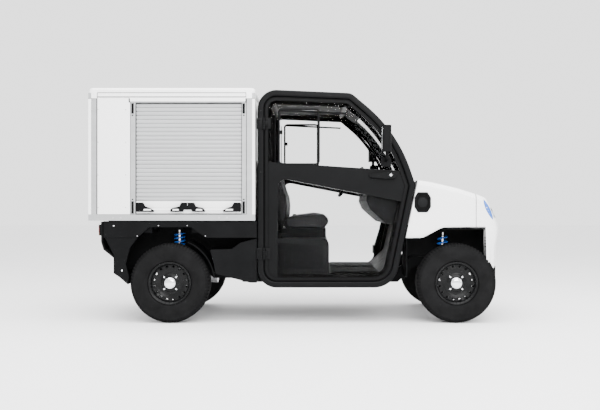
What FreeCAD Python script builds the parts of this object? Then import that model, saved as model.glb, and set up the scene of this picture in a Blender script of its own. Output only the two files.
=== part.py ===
import FreeCAD, Part
import math
import os
from FreeCAD import Vector

# Electric utility van: two-seat cab with tubular side frames and glazed doors, cargo box with a
# roller shutter on each side. Millimetres, +X forward, +Y to the vehicle's left, +Z up.
# The origin is on the ground in the middle of the overall length and width.

os.makedirs("parts", exist_ok=True)

# ---- driving dimensions -------------------------------------------------------------------
overall_length = 3358.0
body_half_width = 645.0           # cab, front body and cargo box without the mirrors
ground_to_box_top = 1874.6

# wheels and track
wheelbase = 2286.0
front_axle_x = 1255.0
rear_axle_x = front_axle_x - wheelbase
tyre_radius = 317.5
tyre_width = 185.0
tread_width = 150.0
wheel_centre_y = 575.0
rim_flange_radius = 170.0
rim_barrel_radius = 152.0
rim_wall = 6.0
rim_half_width = 74.0
disc_offset = 36.0                # rim disc outboard of the wheel's centre plane
hub_radius = 62.0
vent_count = 16
vent_circle_radius = 133.5
vent_radius = 9.5
stub_radius = 20.0
bearing_gap = 0.5

# steering
kingpin_y = 500.0
kingpin_radius = 12.0
arm_thickness = 18.0
steering_wheel_radius = 175.0
steering_rim_radius = 15.0
driver_y = 300.0
steering_hub = Vector(453.0, driver_y, 1151.0)
steering_rake = 40.0              # degrees the wheel's plane leans forward from upright

# cab
cab_rear_x = -331.0
cab_floor_z = 281.0
cab_knuckle_x = 929.0
cab_knuckle_z = 1098.0
cab_roof_z = 1866.0
roof_front_x = 415.0
roof_fall = 32.0                  # roof height lost between its rear and front corners
cage_tube = 50.0
door_gap = 6.0
door_tube = 27.0
door_thickness = 30.0
door_recess = 6.0                 # door face behind the side frame's face
glass_thickness = 5.0
hinge_axis_out = 14.0             # hinge pin outside the side frame's face

# front body
panel_wall = 8.0
panel_gap = 6.0
fender_seam_x = 1410.0
fender_lower_z = 767.0
nose_lower_z = 462.0
hood_half_width = 400.0
hood_rear_x = 962.0
hood_front_x = 1500.0

# cargo box
box_length = 1329.0
box_front_x = -350.0
box_rear_x = box_front_x - box_length
box_floor_z = 816.5
box_rail_height = 48.5
box_cap_z = 1833.0
box_corner_radius = 40.0
post_width = 68.0
post_depth = 60.0
box_wall = 20.0
side_panel_width = 260.0
guide_width = 38.0
curtain_thickness = 12.0
curtain_gap = 5.0
opening_top_z = 1756.0
curtain_bottom_z = 971.0
shutter_bar_bottom_z = 871.0

# chassis
rail_y = 265.0
rail_width = 60.0
rail_height = 80.0
rear_rail_z = 680.0
cab_rail_z = 335.0
front_rail_z = 470.0

# seats and controls
seat_box_x0 = -211.0
seat_box_x1 = 239.0
seat_box_z0 = 385.0
seat_box_z1 = 675.0
seat_half_width = 230.0
seat_centre_y = driver_y

# tow plate: four M10 bolts
tow_spacing_y = 83.0
tow_spacing_z = 56.0
tow_hole_radius = 5.5
tow_plate_z = 470.0

front_x = overall_length / 2.0


# ---- helpers ------------------------------------------------------------------------------
def box(x0, x1, y0, y1, z0, z1):
    """Block between two corners."""
    return Part.makeBox(x1 - x0, y1 - y0, z1 - z0, Vector(x0, y0, z0))


def rod(start, end, radius):
    """Round bar between two points."""
    along = end - start
    return Part.makeCylinder(radius, along.Length, start, along)


def inset(corners, distance):
    """Move every side of a closed outline inwards; each corner is (u, v, radius)."""
    count = len(corners)
    lines = []
    for i in range(count):
        u0, v0, _ = corners[i]
        u1, v1, _ = corners[(i + 1) % count]
        length = math.hypot(u1 - u0, v1 - v0)
        du, dv = (u1 - u0) / length, (v1 - v0) / length
        lines.append((u0 - dv * distance, v0 + du * distance, du, dv))
    moved = []
    for i in range(count):
        ua, va, dua, dva = lines[i - 1]
        ub, vb, dub, dvb = lines[i]
        cross = dua * dvb - dva * dub
        t = ((ub - ua) * dvb - (vb - va) * dub) / cross
        radius = corners[i][2]
        turn_sign = 1.0 if cross > 0 else -1.0
        moved.append((ua + t * dua, va + t * dva, max(radius - turn_sign * distance, 0.0) if radius else 0.0))
    return moved


def outline(corners, place):
    """Closed wire with rounded corners; place(u, v) gives the point in space."""
    count = len(corners)
    spans = []
    for i in range(count):
        u, v, radius = corners[i]
        up, vp, _ = corners[i - 1]
        un, vn, _ = corners[(i + 1) % count]
        a = Vector(up - u, vp - v, 0)
        b = Vector(un - u, vn - v, 0)
        a.normalize()
        b.normalize()
        half = a.getAngle(b) / 2.0
        if radius <= 0.0:
            spans.append((Vector(u, v, 0), None, Vector(u, v, 0)))
            continue
        tangent = radius / math.tan(half)
        middle = a + b
        middle.normalize()
        centre_distance = radius / math.sin(half)
        start = Vector(u, v, 0) + a * tangent
        end = Vector(u, v, 0) + b * tangent
        top = Vector(u, v, 0) + middle * (centre_distance - radius)
        spans.append((start, top, end))
    edges = []
    for i in range(count):
        start, top, end = spans[i]
        following = spans[(i + 1) % count][0]
        if top is not None:
            edges.append(Part.Arc(place(start.x, start.y), place(top.x, top.y), place(end.x, end.y)).toShape())
        if end.distanceToPoint(following) > 1e-6:
            edges.append(Part.makeLine(place(end.x, end.y), place(following.x, following.y)))
    return Part.Wire(edges)


def side_prism(corners, y0, y1):
    """Outline in the side view, from y0 to y1."""
    wire = outline(corners, lambda u, v: Vector(u, y0, v))
    return Part.Face(wire).extrude(Vector(0, y1 - y0, 0))


def plan_prism(corners, z0, z1):
    """Outline seen from above, from z0 to z1."""
    wire = outline(corners, lambda u, v: Vector(u, v, z0))
    return Part.Face(wire).extrude(Vector(0, 0, z1 - z0))


def sharp(points):
    """Corners with no rounding."""
    return [(u, v, 0.0) for u, v in points]


def rounded(x0, x1, z0, z1, radius):
    """Rectangle with one radius at its corners."""
    return [(x0, z0, radius), (x1, z0, radius), (x1, z1, radius), (x0, z1, radius)]


def strip(points, thickness):
    """Mitred band of one thickness along an open path, as the corners of a closed outline."""
    half = thickness / 2.0
    above = []
    below = []
    for i, (u, v) in enumerate(points):
        before = points[max(i - 1, 0)]
        after = points[min(i + 1, len(points) - 1)]
        a = Vector(u - before[0], v - before[1], 0)
        b = Vector(after[0] - u, after[1] - v, 0)
        if a.Length < 1e-9:
            a = b
        if b.Length < 1e-9:
            b = a
        a.normalize()
        b.normalize()
        normal = Vector(-(a.y + b.y), a.x + b.x, 0)
        normal.normalize()
        reach = half / (normal.x * -a.y + normal.y * a.x)
        above.append((u + normal.x * reach, v + normal.y * reach))
        below.append((u - normal.x * reach, v - normal.y * reach))
    return sharp(below + above[::-1])


def revolve_y(profile, x, z):
    """Turn a closed (radius, y) outline about an axis along Y through (x, z)."""
    wire = outline(profile, lambda r, y: Vector(x + r, y, z))
    return Part.Face(wire).revolve(Vector(x, 0, z), Vector(0, 1, 0), 360)


def mirrored(shape):
    """The same shape on the vehicle's other side."""
    return shape.mirror(Vector(0, 0, 0), Vector(0, 1, 0))


def fused(shapes):
    """One solid from shapes that meet."""
    result = shapes[0].fuse(shapes[1:]) if len(shapes) > 1 else shapes[0]
    return result.removeSplitter()


def solids_of(shapes):
    """Every solid of several shapes, kept apart."""
    found = []
    for shape in shapes:
        found.extend(shape.Solids)
    return found


def both_sides(shape):
    """A shape and its mirror image as separate solids."""
    return Part.makeCompound(solids_of([shape, mirrored(shape)]))


def save(name, shape):
    """Write one node."""
    solids = shape.Solids
    result = solids[0] if len(solids) == 1 else Part.makeCompound(solids)
    result.exportStep("parts/" + name + ".step")
    print(name, len(solids), round(result.Volume / 1e6, 2), "litres", result.isValid())


def sides(name, right_shape):
    """Write a right-hand node and its left-hand mirror image."""
    save("right_" + name, right_shape)
    save("left_" + name, mirrored(right_shape))


# ---- cab outline --------------------------------------------------------------------------
pillar_bow_x = cab_knuckle_x - 140.0
pillar_bow_z = cab_knuckle_z + 421.0
sill_front_x = cab_knuckle_x - 170.0
cab_outline = [
    (cab_rear_x, cab_floor_z, 150.0),
    (sill_front_x, cab_floor_z, 200.0),
    (cab_knuckle_x, cab_knuckle_z, 40.0),
    (pillar_bow_x, pillar_bow_z, 1150.0),
    (roof_front_x, cab_roof_z - roof_fall, 90.0),
    (cab_rear_x, cab_roof_z, 150.0),
]
frame_outer_y = body_half_width
frame_inner_y = frame_outer_y - cage_tube
door_outline = inset(cab_outline, cage_tube + door_gap)
door_outer_y = frame_outer_y - door_recess
door_inner_y = door_outer_y - door_thickness
glass_outline = inset(door_outline, door_tube)


def cab_side_frame():
    """Closed tube loop around the right door opening."""
    outer = side_prism(cab_outline, -frame_outer_y, -frame_inner_y)
    hole = side_prism(inset(cab_outline, cage_tube), -frame_outer_y - 1, -frame_inner_y + 1)
    ring = outer.cut(hole)
    face_y = {-frame_outer_y, -frame_inner_y}
    edges = [e for e in ring.Edges
             if round(e.BoundBox.YMin, 3) == round(e.BoundBox.YMax, 3) and round(e.BoundBox.YMin, 3) in face_y]
    return ring.makeFillet(cage_tube * 0.28, edges)


def cab_cross_tubes():
    """Cross-members between the two side frames: roof rear, roof front, cowl and floor."""
    half = frame_inner_y
    roof_rear = rounded(cab_rear_x + 81, cab_rear_x + 81 + cage_tube, cab_roof_z - 101, cab_roof_z - 61, 10)
    header_x = roof_front_x - 60.0
    header_z = cab_roof_z - roof_fall - 72.0
    header = rounded(header_x, header_x + cage_tube, header_z, header_z + 42, 10)
    cowl = rounded(cab_knuckle_x - 92, cab_knuckle_x - 92 + cage_tube, cab_knuckle_z - 58, cab_knuckle_z - 14, 10)
    bars = [side_prism(c, -half, half) for c in (roof_rear, header, cowl)]
    rail_edge = rail_y + rail_width / 2
    for x in (sill_front_x - 140, cab_rear_x + 130):
        sill = rounded(x, x + cage_tube, cab_floor_z + 16, cab_floor_z + 60, 10)
        bars.append(both_sides(side_prism(sill, -half, -rail_edge)))
    return Part.makeCompound(solids_of(bars))


def roof_panel():
    """Moulded roof between the side frames."""
    skin = 10.0
    upper = side_prism(inset(cab_outline, 8.0), -frame_inner_y, frame_inner_y)
    lower = side_prism(inset(cab_outline, 8.0 + skin), -frame_inner_y - 1, frame_inner_y + 1)
    keep = box(cab_rear_x, roof_front_x - 5, -frame_inner_y, frame_inner_y, cab_roof_z - 70, cab_roof_z + 10)
    return upper.cut(lower).common(keep)


def windscreen():
    """Curved front glass between the pillars."""
    outer = side_prism(inset(cab_outline, 14.0), -frame_inner_y + 2, frame_inner_y - 2)
    inner = side_prism(inset(cab_outline, 14.0 + 6.0), -frame_inner_y, frame_inner_y)
    keep = box(roof_front_x, cab_knuckle_x + 20, -frame_inner_y, frame_inner_y,
               cab_knuckle_z + 14, cab_roof_z)
    return outer.cut(inner).common(keep)


def cab_rear_wall():
    """Bulkhead behind the seats with its window cut out."""
    x0 = cab_rear_x + 8.0
    wall = box(x0, x0 + 20.0, -frame_inner_y, frame_inner_y, cab_floor_z + 125, cab_roof_z - 140)
    window = box(x0 - 1, x0 + 21, -rear_window_half, rear_window_half, rear_window_z0, rear_window_z1)
    return wall.cut(window)


rear_window_half = 440.0
rear_window_z0 = 1290.0
rear_window_z1 = 1680.0


def rear_window():
    """Glass in the bulkhead."""
    x0 = cab_rear_x + 15.0
    return box(x0, x0 + 6.0, -rear_window_half, rear_window_half, rear_window_z0, rear_window_z1)


def cab_floor():
    """Flat floor with the toe board rising at its front."""
    toe = [(cab_rear_x + 30, seat_box_z0 - 4), (sill_front_x - 130, seat_box_z0 - 4),
           (sill_front_x + 15, seat_box_z0 + 140), (cab_knuckle_x - 82, 830)]
    return side_prism(strip(toe, 8.0), -frame_inner_y, frame_inner_y)


# ---- doors --------------------------------------------------------------------------------
band_top = [(cab_rear_x + 90, 1284.0), (552.0, 1231.0), (cab_knuckle_x - 40, 1210.0)]
band_bottom = [(cab_knuckle_x - 60, 957.0), (353.0, 1056.0)]


def door_frame():
    """Right door: tube loop, opaque middle band, sliding-window frame and outside handle."""
    loop = side_prism(door_outline, -door_outer_y, -door_inner_y)
    loop = loop.cut(side_prism(glass_outline, -door_outer_y - 1, -door_inner_y + 1))
    inside = side_prism(inset(door_outline, 1.0), -door_outer_y, -door_inner_y)
    strip_x = cab_rear_x + 161.0
    band_points = [(cab_rear_x + 40, 1290.0, 0.0), (cab_rear_x + 40, cab_floor_z, 0.0),
                   (strip_x, cab_floor_z, 0.0), (strip_x, 1158.0, 62.0),
                   (band_bottom[1][0], band_bottom[1][1], 0.0), (cab_knuckle_x, 945.0, 0.0),
                   (cab_knuckle_x, 1206.0, 0.0), (band_top[1][0], band_top[1][1], 300.0),
                   (band_top[0][0], band_top[0][1], 0.0)]
    band = side_prism(band_points, -door_outer_y + 4, -door_inner_y - 4).common(inside)
    slider = rounded(-165.0, 161.0, 1262.0, 1708.0, 32.0)
    window_ring = side_prism(slider, -door_outer_y + 2, -door_inner_y - 6)
    window_ring = window_ring.cut(side_prism(inset(slider, 12.0), -door_outer_y - 1, -door_inner_y))
    return fused([loop, band, window_ring])


def door_handle():
    """Outside handle: thick grip ahead, slim tail behind."""
    grip = [(563.0, 1163.0, 6.0), (690.0, 1150.0, 10.0), (768.0, 1152.0, 18.0), (772.0, 1198.0, 18.0),
            (690.0, 1202.0, 14.0), (563.0, 1186.0, 6.0)]
    return side_prism(grip, -door_outer_y - 34, -door_outer_y + 4)


def door_glass(frame):
    """Upper and lower panes of the right door."""
    middle = (door_outer_y + door_inner_y) / 2.0
    sheet = side_prism(glass_outline, -middle - glass_thickness / 2, -middle + glass_thickness / 2)
    return sheet.cut(frame)


def door_mirror():
    """Tall mirror head on a bracket at the front of the door."""
    head = plan_prism([(646.0, -828.0, 20.0), (718.0, -828.0, 30.0), (724.0, -732.0, 30.0),
                       (646.0, -732.0, 20.0)], 1358.0, 1563.0)
    arm = rod(Vector(690, -door_outer_y + 6, 1290), Vector(690, -752, 1318), 13.0)
    neck = rod(Vector(690, -752, 1306), Vector(690, -764, 1362), 13.0)
    foot = side_prism(rounded(650, 734, 1246, 1320, 20), -door_outer_y - 12, -door_outer_y + 3)
    return fused([head, arm, neck, foot])


# ---- cab interior -------------------------------------------------------------------------
def seat_box():
    """Hollow plinth under both seats, open below."""
    shape = [(seat_box_x0, seat_box_z0, 0.0), (seat_box_x1, seat_box_z0, 0.0),
             (seat_box_x1, seat_box_z1, 60.0), (seat_box_x0, seat_box_z1, 0.0)]
    hollow = [(seat_box_x0 + 8, seat_box_z0 - 1, 0.0), (seat_box_x1 - 8, seat_box_z0 - 1, 0.0),
              (seat_box_x1 - 8, seat_box_z1 - 8, 52.0), (seat_box_x0 + 8, seat_box_z1 - 8, 0.0)]
    half = frame_inner_y - 25.0
    return side_prism(shape, -half, half).cut(side_prism(hollow, -half + 8, half - 8))


def seat_bases():
    """Seat pans with the recliner brackets that carry the backs."""
    pan = box(seat_box_x0 + 70, 215.0, seat_centre_y - 200, seat_centre_y + 200, seat_box_z1 + 1, 750.0)
    left = side_prism(strip([(-60.0, 735.0), (-135.0, 790.0), (-200.0, 980.0)], 26.0),
                      seat_centre_y - 236, seat_centre_y - 232)
    right = left.translated(Vector(0, 468, 0))
    cross = box(-118, -92, seat_centre_y - 236, seat_centre_y + 236, 727.0, 749.0)
    whole = fused([pan, cross, left, right])
    return both_sides(whole)


def seat_cushions():
    """Plain solids of the two cushions."""
    shape = [(-112, 753, 20.0), (218, 753, 25.0), (250, 812, 22.0), (188, 856, 30.0), (48, 873, 0.0), (-112, 852, 25.0)]
    return both_sides(side_prism(shape, seat_centre_y - seat_half_width, seat_centre_y + seat_half_width))


def seat_backs():
    """Plain solids of the two backs."""
    shape = [(-190, 790, 20.0), (-124, 800, 20.0), (-104, 945, 120.0), (-142, 1230, 25.0), (-232, 1250, 30.0)]
    return both_sides(side_prism(shape, seat_centre_y - seat_half_width + 4, seat_centre_y + seat_half_width - 4))


def dashboard():
    """Moulded dashboard across the cab."""
    front = cab_knuckle_x - 107.0
    shape = [(539, 975, 20.0), (569, 905, 25.0), (700, 788, 0.0), (front, 778, 0.0), (front, 1078, 0.0),
             (640, 1058, 60.0), (545, 1020, 25.0)]
    return side_prism(shape, -frame_inner_y + 2, frame_inner_y - 2)


def steering_axis():
    """Unit vector along the column, forward and down."""
    rake = math.radians(steering_rake)
    return Vector(math.cos(rake), 0, -math.sin(rake))


def steering_wheel():
    """Rim, three spokes and hub."""
    axis = steering_axis()
    rim = Part.makeTorus(steering_wheel_radius - steering_rim_radius, steering_rim_radius, steering_hub, axis)
    hub = Part.makeCylinder(42.0, 34.0, steering_hub - axis * 4, axis)
    upward = Vector(math.sin(math.radians(steering_rake)), 0, math.cos(math.radians(steering_rake)))
    sideways = Vector(0, 1, 0)
    reach = steering_wheel_radius - steering_rim_radius
    pieces = [rim, hub]
    for direction in (sideways, sideways * -1, upward * -1):
        pieces.append(rod(steering_hub + axis * 12, steering_hub + direction * reach, 10.0))
    return fused(pieces)


def steering_column():
    """Shroud between the steering wheel and the dashboard."""
    axis = steering_axis()
    start = steering_hub + axis * 36
    shroud = Part.makeCone(30.0, 52.0, 150.0, start, axis)
    return shroud.cut(dashboard())


# ---- front body ---------------------------------------------------------------------------
nose_side_set = 104.0             # how far the nose's corners stand behind its middle


def front_side_outline(wall):
    """Side view of the front body, moved inwards by wall."""
    lower = 330.0
    corners = [(780.0, lower, 0.0), (front_x - 22, lower, 0.0), (front_x + 2, 735.0, 300.0),
               (front_x - 26, 880.0, 120.0), (1548.0, 978.0, 150.0), (1330.0, 1066.0, 900.0),
               (1075.0, 1134.0, 900.0), (780.0, 1154.0, 0.0)]
    return inset(corners, wall)


def nose_plan(reach):
    """Front body seen from above; reach is the nose's foremost point."""
    half = body_half_width
    corner_x = reach - nose_side_set
    return [(780.0, -half, 0.0), (corner_x, -half, 110.0), (reach, -250.0, 420.0),
            (reach, 250.0, 420.0), (corner_x, half, 110.0), (780.0, half, 0.0)]


def front_form(wall):
    """Solid form of the front body, moved inwards by wall."""
    side = side_prism(front_side_outline(wall), -body_half_width - 1, body_half_width + 1)
    plan = plan_prism(inset(nose_plan(front_x), wall), 300.0, 1200.0)
    return side.common(plan)


def hood_edge(gap):
    """Plan outline of the hood, grown by gap."""
    return [(hood_rear_x - gap, -hood_half_width - 30 - gap, 30.0),
            (hood_front_x + gap, -hood_half_width + 60 - gap, 70.0),
            (hood_front_x + gap, hood_half_width - 60 + gap, 70.0),
            (hood_rear_x - gap, hood_half_width + 30 + gap, 30.0)]


def lamp_edge(gap):
    """Side view of the headlamp, grown by gap."""
    return [(1545.0 - gap * 1.2, 826.0 - gap, 20.0), (front_x + 60, 826.0 - gap, 0.0),
            (front_x + 60, 962.0 + gap, 0.0), (1474.0 - gap * 1.2, 976.0 + gap, 10.0)]


lamp_inner_y = 395.0


def front_body():
    """Fenders with the cowl, nose, hood and headlamps, all cut from one form."""
    shell = front_form(0.0).cut(front_form(panel_wall))
    # behind the cab's front edge
    cab_side = inset(cab_outline, -panel_gap)
    shell = shell.cut(side_prism(cab_side, -body_half_width - 5, body_half_width + 5))
    rear_trim = sharp([(700.0, 300.0), (sill_front_x + 82, 300.0), (sill_front_x + 82, 676.0), (700.0, 676.0)])
    shell = shell.cut(side_prism(rear_trim, -body_half_width - 5, body_half_width + 5))
    # wheel arches, open to the side and below
    arch = sharp([(700.0, 300.0), (1640.0, 300.0), (1640.0, nose_lower_z - 2), (1566.0, nose_lower_z - 2),
                  (1450.0, fender_lower_z), (1141.0, fender_lower_z), (982.0, 679.0), (700.0, 675.0)])
    arch_depth = 205.0
    right_arch = side_prism(arch, -body_half_width - 5, -body_half_width + arch_depth)
    shell = shell.cut(right_arch).cut(mirrored(right_arch))
    under = box(700.0, 1590.0, -body_half_width - 5, body_half_width + 5, 300.0, 640.0)
    shell = shell.cut(under.common(box(700.0, 1560.0, -440.0, 440.0, 300.0, 640.0)))
    low = box(700.0, front_x + 50, -body_half_width - 5, body_half_width + 5, 300.0, nose_lower_z - 30)
    shell = shell.cut(low)
    # headlamps
    right_lamp = side_prism(lamp_edge(0.0), -body_half_width - 5, -lamp_inner_y)
    right_pocket = side_prism(lamp_edge(2.0), -body_half_width - 5, -lamp_inner_y + 2)
    lamp_shell = front_form(0.0).cut(front_form(30.0))
    lamps = Part.makeCompound(solids_of([lamp_shell.common(right_lamp), lamp_shell.common(mirrored(right_lamp))]))
    shell = shell.cut(right_pocket).cut(mirrored(right_pocket))
    # hood
    hood_keep = plan_prism(hood_edge(0.0), 900.0, 1300.0)
    hood_hole = plan_prism(hood_edge(panel_gap), 900.0, 1300.0)
    hood = shell.common(hood_keep)
    rest = shell.cut(hood_hole)
    front_half = box(fender_seam_x + 2, front_x + 60, -700, 700, 300, 1300)
    rear_half = box(700, fender_seam_x - 2, -700, 700, 300, 1300)
    return rest.common(rear_half), rest.common(front_half), hood, lamps


def front_bumper():
    """Lower front valance with the air intake, behind the nose's lower edge."""
    low, high = nose_lower_z - 112, nose_lower_z - 36
    ring = plan_prism(nose_plan(front_x - 26.0), low, high)
    ring = ring.cut(plan_prism(nose_plan(front_x - 50.0), low - 1, high + 1))
    return ring.common(box(front_x - 75.0, front_x + 10, -430, 430, 300, 600))


def arch_liners():
    """Inner walls and roofs of the front wheel arches, and mudguard arcs ahead of the rear wheels."""
    wall_y = 306.0
    rear_x = sill_front_x + 98
    inner = box(rear_x, 1540, -wall_y, -wall_y + 6, front_rail_z + 45, 750)
    back = box(rear_x, rear_x + 6, -body_half_width + 30, -wall_y + 6, 360, 750)
    top = box(rear_x, 1540, -body_half_width + 30, -wall_y + 6, 744, 750)
    front = fused([inner, back, top])
    front = front.cut(box(front_axle_x - 102, front_axle_x - 38, -wall_y - 2, -wall_y + 8,
                          front_rail_z + 248, front_rail_z + 264))
    ring = Part.makeCylinder(358, 300, Vector(rear_axle_x, -body_half_width + 12, tyre_radius), Vector(0, 1, 0))
    ring = ring.cut(Part.makeCylinder(352, 302, Vector(rear_axle_x, -body_half_width + 11, tyre_radius),
                                      Vector(0, 1, 0)))
    sector = side_prism(sharp([(rear_axle_x, tyre_radius + 60), (rear_axle_x + 500, tyre_radius + 60),
                               (rear_axle_x + 500, tyre_radius + 330), (rear_axle_x + 144, tyre_radius + 330)]),
                        -body_half_width, -300)
    return Part.makeCompound(solids_of([both_sides(front), both_sides(ring.common(sector))]))


# ---- chassis ------------------------------------------------------------------------------
def chassis_frame():
    """Two kicked-up rails with cross-members, box bearers, subframe and tow plate."""
    path = [(box_rear_x + 130, rear_rail_z), (-640.0, rear_rail_z), (-455.0, cab_rail_z),
            (sill_front_x + 45, cab_rail_z), (sill_front_x + 190, front_rail_z), (1545.0, front_rail_z)]
    rail = side_prism(strip(path, rail_height), -rail_y - rail_width / 2, -rail_y + rail_width / 2)
    pieces = [rail, mirrored(rail)]
    inner = rail_y - rail_width / 2 + 1
    for x in (box_rear_x + 140, -720.0):
        pieces.append(box(x, x + 60, -inner, inner, rear_rail_z - 30, rear_rail_z + 30))
    for x in (-430.0, 560.0):
        pieces.append(box(x, x + 60, -inner, inner, cab_rail_z - 25, cab_rail_z + 25))
    pieces.append(box(front_axle_x - 75, front_axle_x + 75, -inner, inner, 235.0, front_rail_z + 20))
    pieces.append(box(1485.0, 1545.0, -inner, inner, front_rail_z - 25, front_rail_z + 25))
    for x in (box_rear_x + 150, -1240.0, -860.0, cab_rear_x - 92):
        pieces.append(box(x, x + 60, -body_half_width + 45, body_half_width - 45, rear_rail_z + 38, box_floor_z))
    for side in (-1, 1):
        edge = side * rail_y
        pieces.append(box(cab_rear_x - 92, cab_rear_x - 42, edge - 25, edge + 25, cab_rail_z, rear_rail_z + 40))
    # tow plate on two hangers behind the fascia
    plate_x = box_rear_x + 96.0
    for y in (-55.0, 47.0):
        pieces.append(side_prism(sharp([(plate_x, tow_plate_z - 48), (plate_x + 40, tow_plate_z - 48),
                                        (box_rear_x + 200, rear_rail_z - 28), (box_rear_x + 140, rear_rail_z - 28)]),
                                 y, y + 8))
    plate = box(plate_x - 10, plate_x, -65, 65, tow_plate_z - 50, tow_plate_z + 50)
    for y in (-tow_spacing_y / 2, tow_spacing_y / 2):
        for z in (-tow_spacing_z / 2, tow_spacing_z / 2):
            plate = plate.cut(Part.makeCylinder(tow_hole_radius, 30, Vector(plate_x - 20, y, tow_plate_z + z),
                                                Vector(1, 0, 0)))
    pieces.append(plate)
    # spring towers
    for x, y in ((rear_axle_x + 40, 400.0), (front_axle_x - 70, 372.0)):
        for side in (-1, 1):
            near = side * (rail_y + rail_width / 2 - 2)
            far = side * (y + 20)
            level = rear_rail_z + 60 if x < 0 else front_rail_z + 250
            low = rear_rail_z + 36 if x < 0 else front_rail_z + 36
            near_in = side * (rail_y + rail_width / 2 - 12)
            pieces.append(box(x - 30, x + 30, min(near, far), max(near, far), level, level + 12))
            pieces.append(box(x - 30, x + 30, min(near, near_in), max(near, near_in), low, level + 12))
    return fused(pieces)


def front_arms():
    """Lower and upper wishbones of the front suspension."""
    pieces = []
    inner_y = rail_y - rail_width / 2 + 1
    for level, spread in ((235.0, 150.0), (400.0, 84.0)):
        low, high = level - arm_thickness / 2, level + arm_thickness / 2
        arm = plan_prism([(front_axle_x - spread, -inner_y, 0.0), (front_axle_x, -kingpin_y, 0.0),
                          (front_axle_x + spread, -inner_y, 0.0)], low, high)
        hole = plan_prism([(front_axle_x - spread * 0.6, -inner_y - 34, 8.0), (front_axle_x, -kingpin_y + 74, 8.0),
                           (front_axle_x + spread * 0.6, -inner_y - 34, 8.0)], low - 1, high + 1)
        boss = Part.makeCylinder(kingpin_radius + 6, arm_thickness, Vector(front_axle_x, -kingpin_y, low))
        eye = Part.makeCylinder(kingpin_radius + bearing_gap, 40, Vector(front_axle_x, -kingpin_y, level - 20))
        pieces.append(fused([arm.cut(hole), boss]).cut(eye))
    return Part.makeCompound(solids_of([both_sides(p) for p in pieces]))


def strut(lower, upper):
    """Damper inside a coil spring, as one stepped bar."""
    along = upper - lower
    length = along.Length
    along.normalize()
    damper = Part.makeCylinder(24, length, lower, along)
    spring = Part.makeCylinder(46, length * 0.52, lower + along * length * 0.42, along)
    return fused([damper, spring])


def coil_struts():
    """Four spring and damper units."""
    rear = strut(Vector(rear_axle_x + 40, -400, 372), Vector(rear_axle_x + 40, -400, rear_rail_z + 59))
    front = strut(Vector(front_axle_x - 80, -386, 244.9), Vector(front_axle_x - 70, -372, front_rail_z + 249))
    return Part.makeCompound(solids_of([both_sides(rear), both_sides(front)]))


def rear_axle():
    """Beam, brake backing plates and stub ends."""
    stub_end = wheel_centre_y + disc_offset - 8
    beam = Part.makeCylinder(38, 2 * 500, Vector(rear_axle_x, -500, tyre_radius), Vector(0, 1, 0))
    pieces = [beam]
    for side in (-1, 1):
        direction = Vector(0, side, 0)
        pieces.append(Part.makeCylinder(105, 26, Vector(rear_axle_x, side * 492, tyre_radius), direction))
        pieces.append(Part.makeCylinder(stub_radius, stub_end - 500, Vector(rear_axle_x, side * 500, tyre_radius),
                                        direction))
        seat = box(rear_axle_x - 20, rear_axle_x + 90, -48, 48, 340, 371)
        pieces.append(seat.translated(Vector(0, side * 400, 0)))
    return fused(pieces)


def drive_unit():
    """Motor ahead of the axle's gearbox, as one plain block."""
    motor = Part.makeCylinder(92, 250, Vector(rear_axle_x + 60, 0, tyre_radius + 40), Vector(1, 0, 0))
    case = box(rear_axle_x - 95, rear_axle_x + 80, -110, 110, tyre_radius - 75, tyre_radius + 120)
    beam_hole = Part.makeCylinder(38, 400, Vector(rear_axle_x, -200, tyre_radius), Vector(0, 1, 0))
    return fused([motor, case]).cut(beam_hole)


def battery_pack():
    """Traction battery under the seats, as one plain block."""
    return box(seat_box_x0 + 25, seat_box_x1 - 25, -480, 480, seat_box_z0 + 4, seat_box_z1 - 30)


def side_skirts():
    """Black lower side panels beneath the cargo box with the rear wheel arches."""
    low, high = 679.0, box_floor_z - 4.5
    ax = rear_axle_x
    shape = sharp([(box_rear_x + 118, low), (ax - 260, low), (ax - 167, 763.0), (ax + 171, 763.0), (ax + 288, low),
                   (cab_rear_x - 6, low), (cab_rear_x - 6, high), (box_rear_x + 118, high)])
    return both_sides(side_prism(shape, -body_half_width + 5, -body_half_width + 25))


def rear_fascia():
    """Rear lower panel and bumper across the width."""
    path = [(box_rear_x + 106, 808.0), (box_rear_x + 106, 650.0), (box_rear_x + 124, 590.0),
            (box_rear_x + 206, 522.0), (box_rear_x + 206, 400.0), (box_rear_x + 256, 366.0),
            (box_rear_x + 318, 311.0)]
    panel = side_prism(strip(path, 14.0), -body_half_width + 5, body_half_width - 5)
    slot = box(box_rear_x + 80, box_rear_x + 260, -75, 75, 405, 640)
    end_shape = sharp([(box_rear_x + 130, 679.0), (box_rear_x + 206, 530.0), (box_rear_x + 208, 400.0),
                       (box_rear_x + 262, 364.0), (box_rear_x + 316, 316.0), (box_rear_x + 322, 370.0),
                       (box_rear_x + 296, 470.0), (box_rear_x + 330, 600.0), (box_rear_x + 388, 678.0)])
    cheek = side_prism(end_shape, -body_half_width + 5, -body_half_width + 25)
    return fused([panel.cut(slot), cheek, mirrored(cheek)])


def tail_lamps():
    """Lamp blocks at the rear corners."""
    x = box_rear_x + 98.5
    return both_sides(box(x - 17, x, -body_half_width + 10, -body_half_width + 90, 697, 785))


def side_lockers():
    """Black moulded covers between the cab and the rear wheels."""
    ax = rear_axle_x
    shape = [(cab_rear_x - 6, 675.0, 0.0), (cab_rear_x - 140, 640.0, 40.0), (cab_rear_x - 210, 588.0, 20.0),
             (ax + 318, 584.0, 10.0), (ax + 348, 470.0, 0.0), (ax + 362, 392.0, 20.0), (cab_rear_x - 60, 320.0, 30.0),
             (cab_rear_x - 6, 320.0, 0.0)]
    return both_sides(side_prism(shape, -body_half_width + 12, -rail_y - rail_width / 2 - 55))


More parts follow.
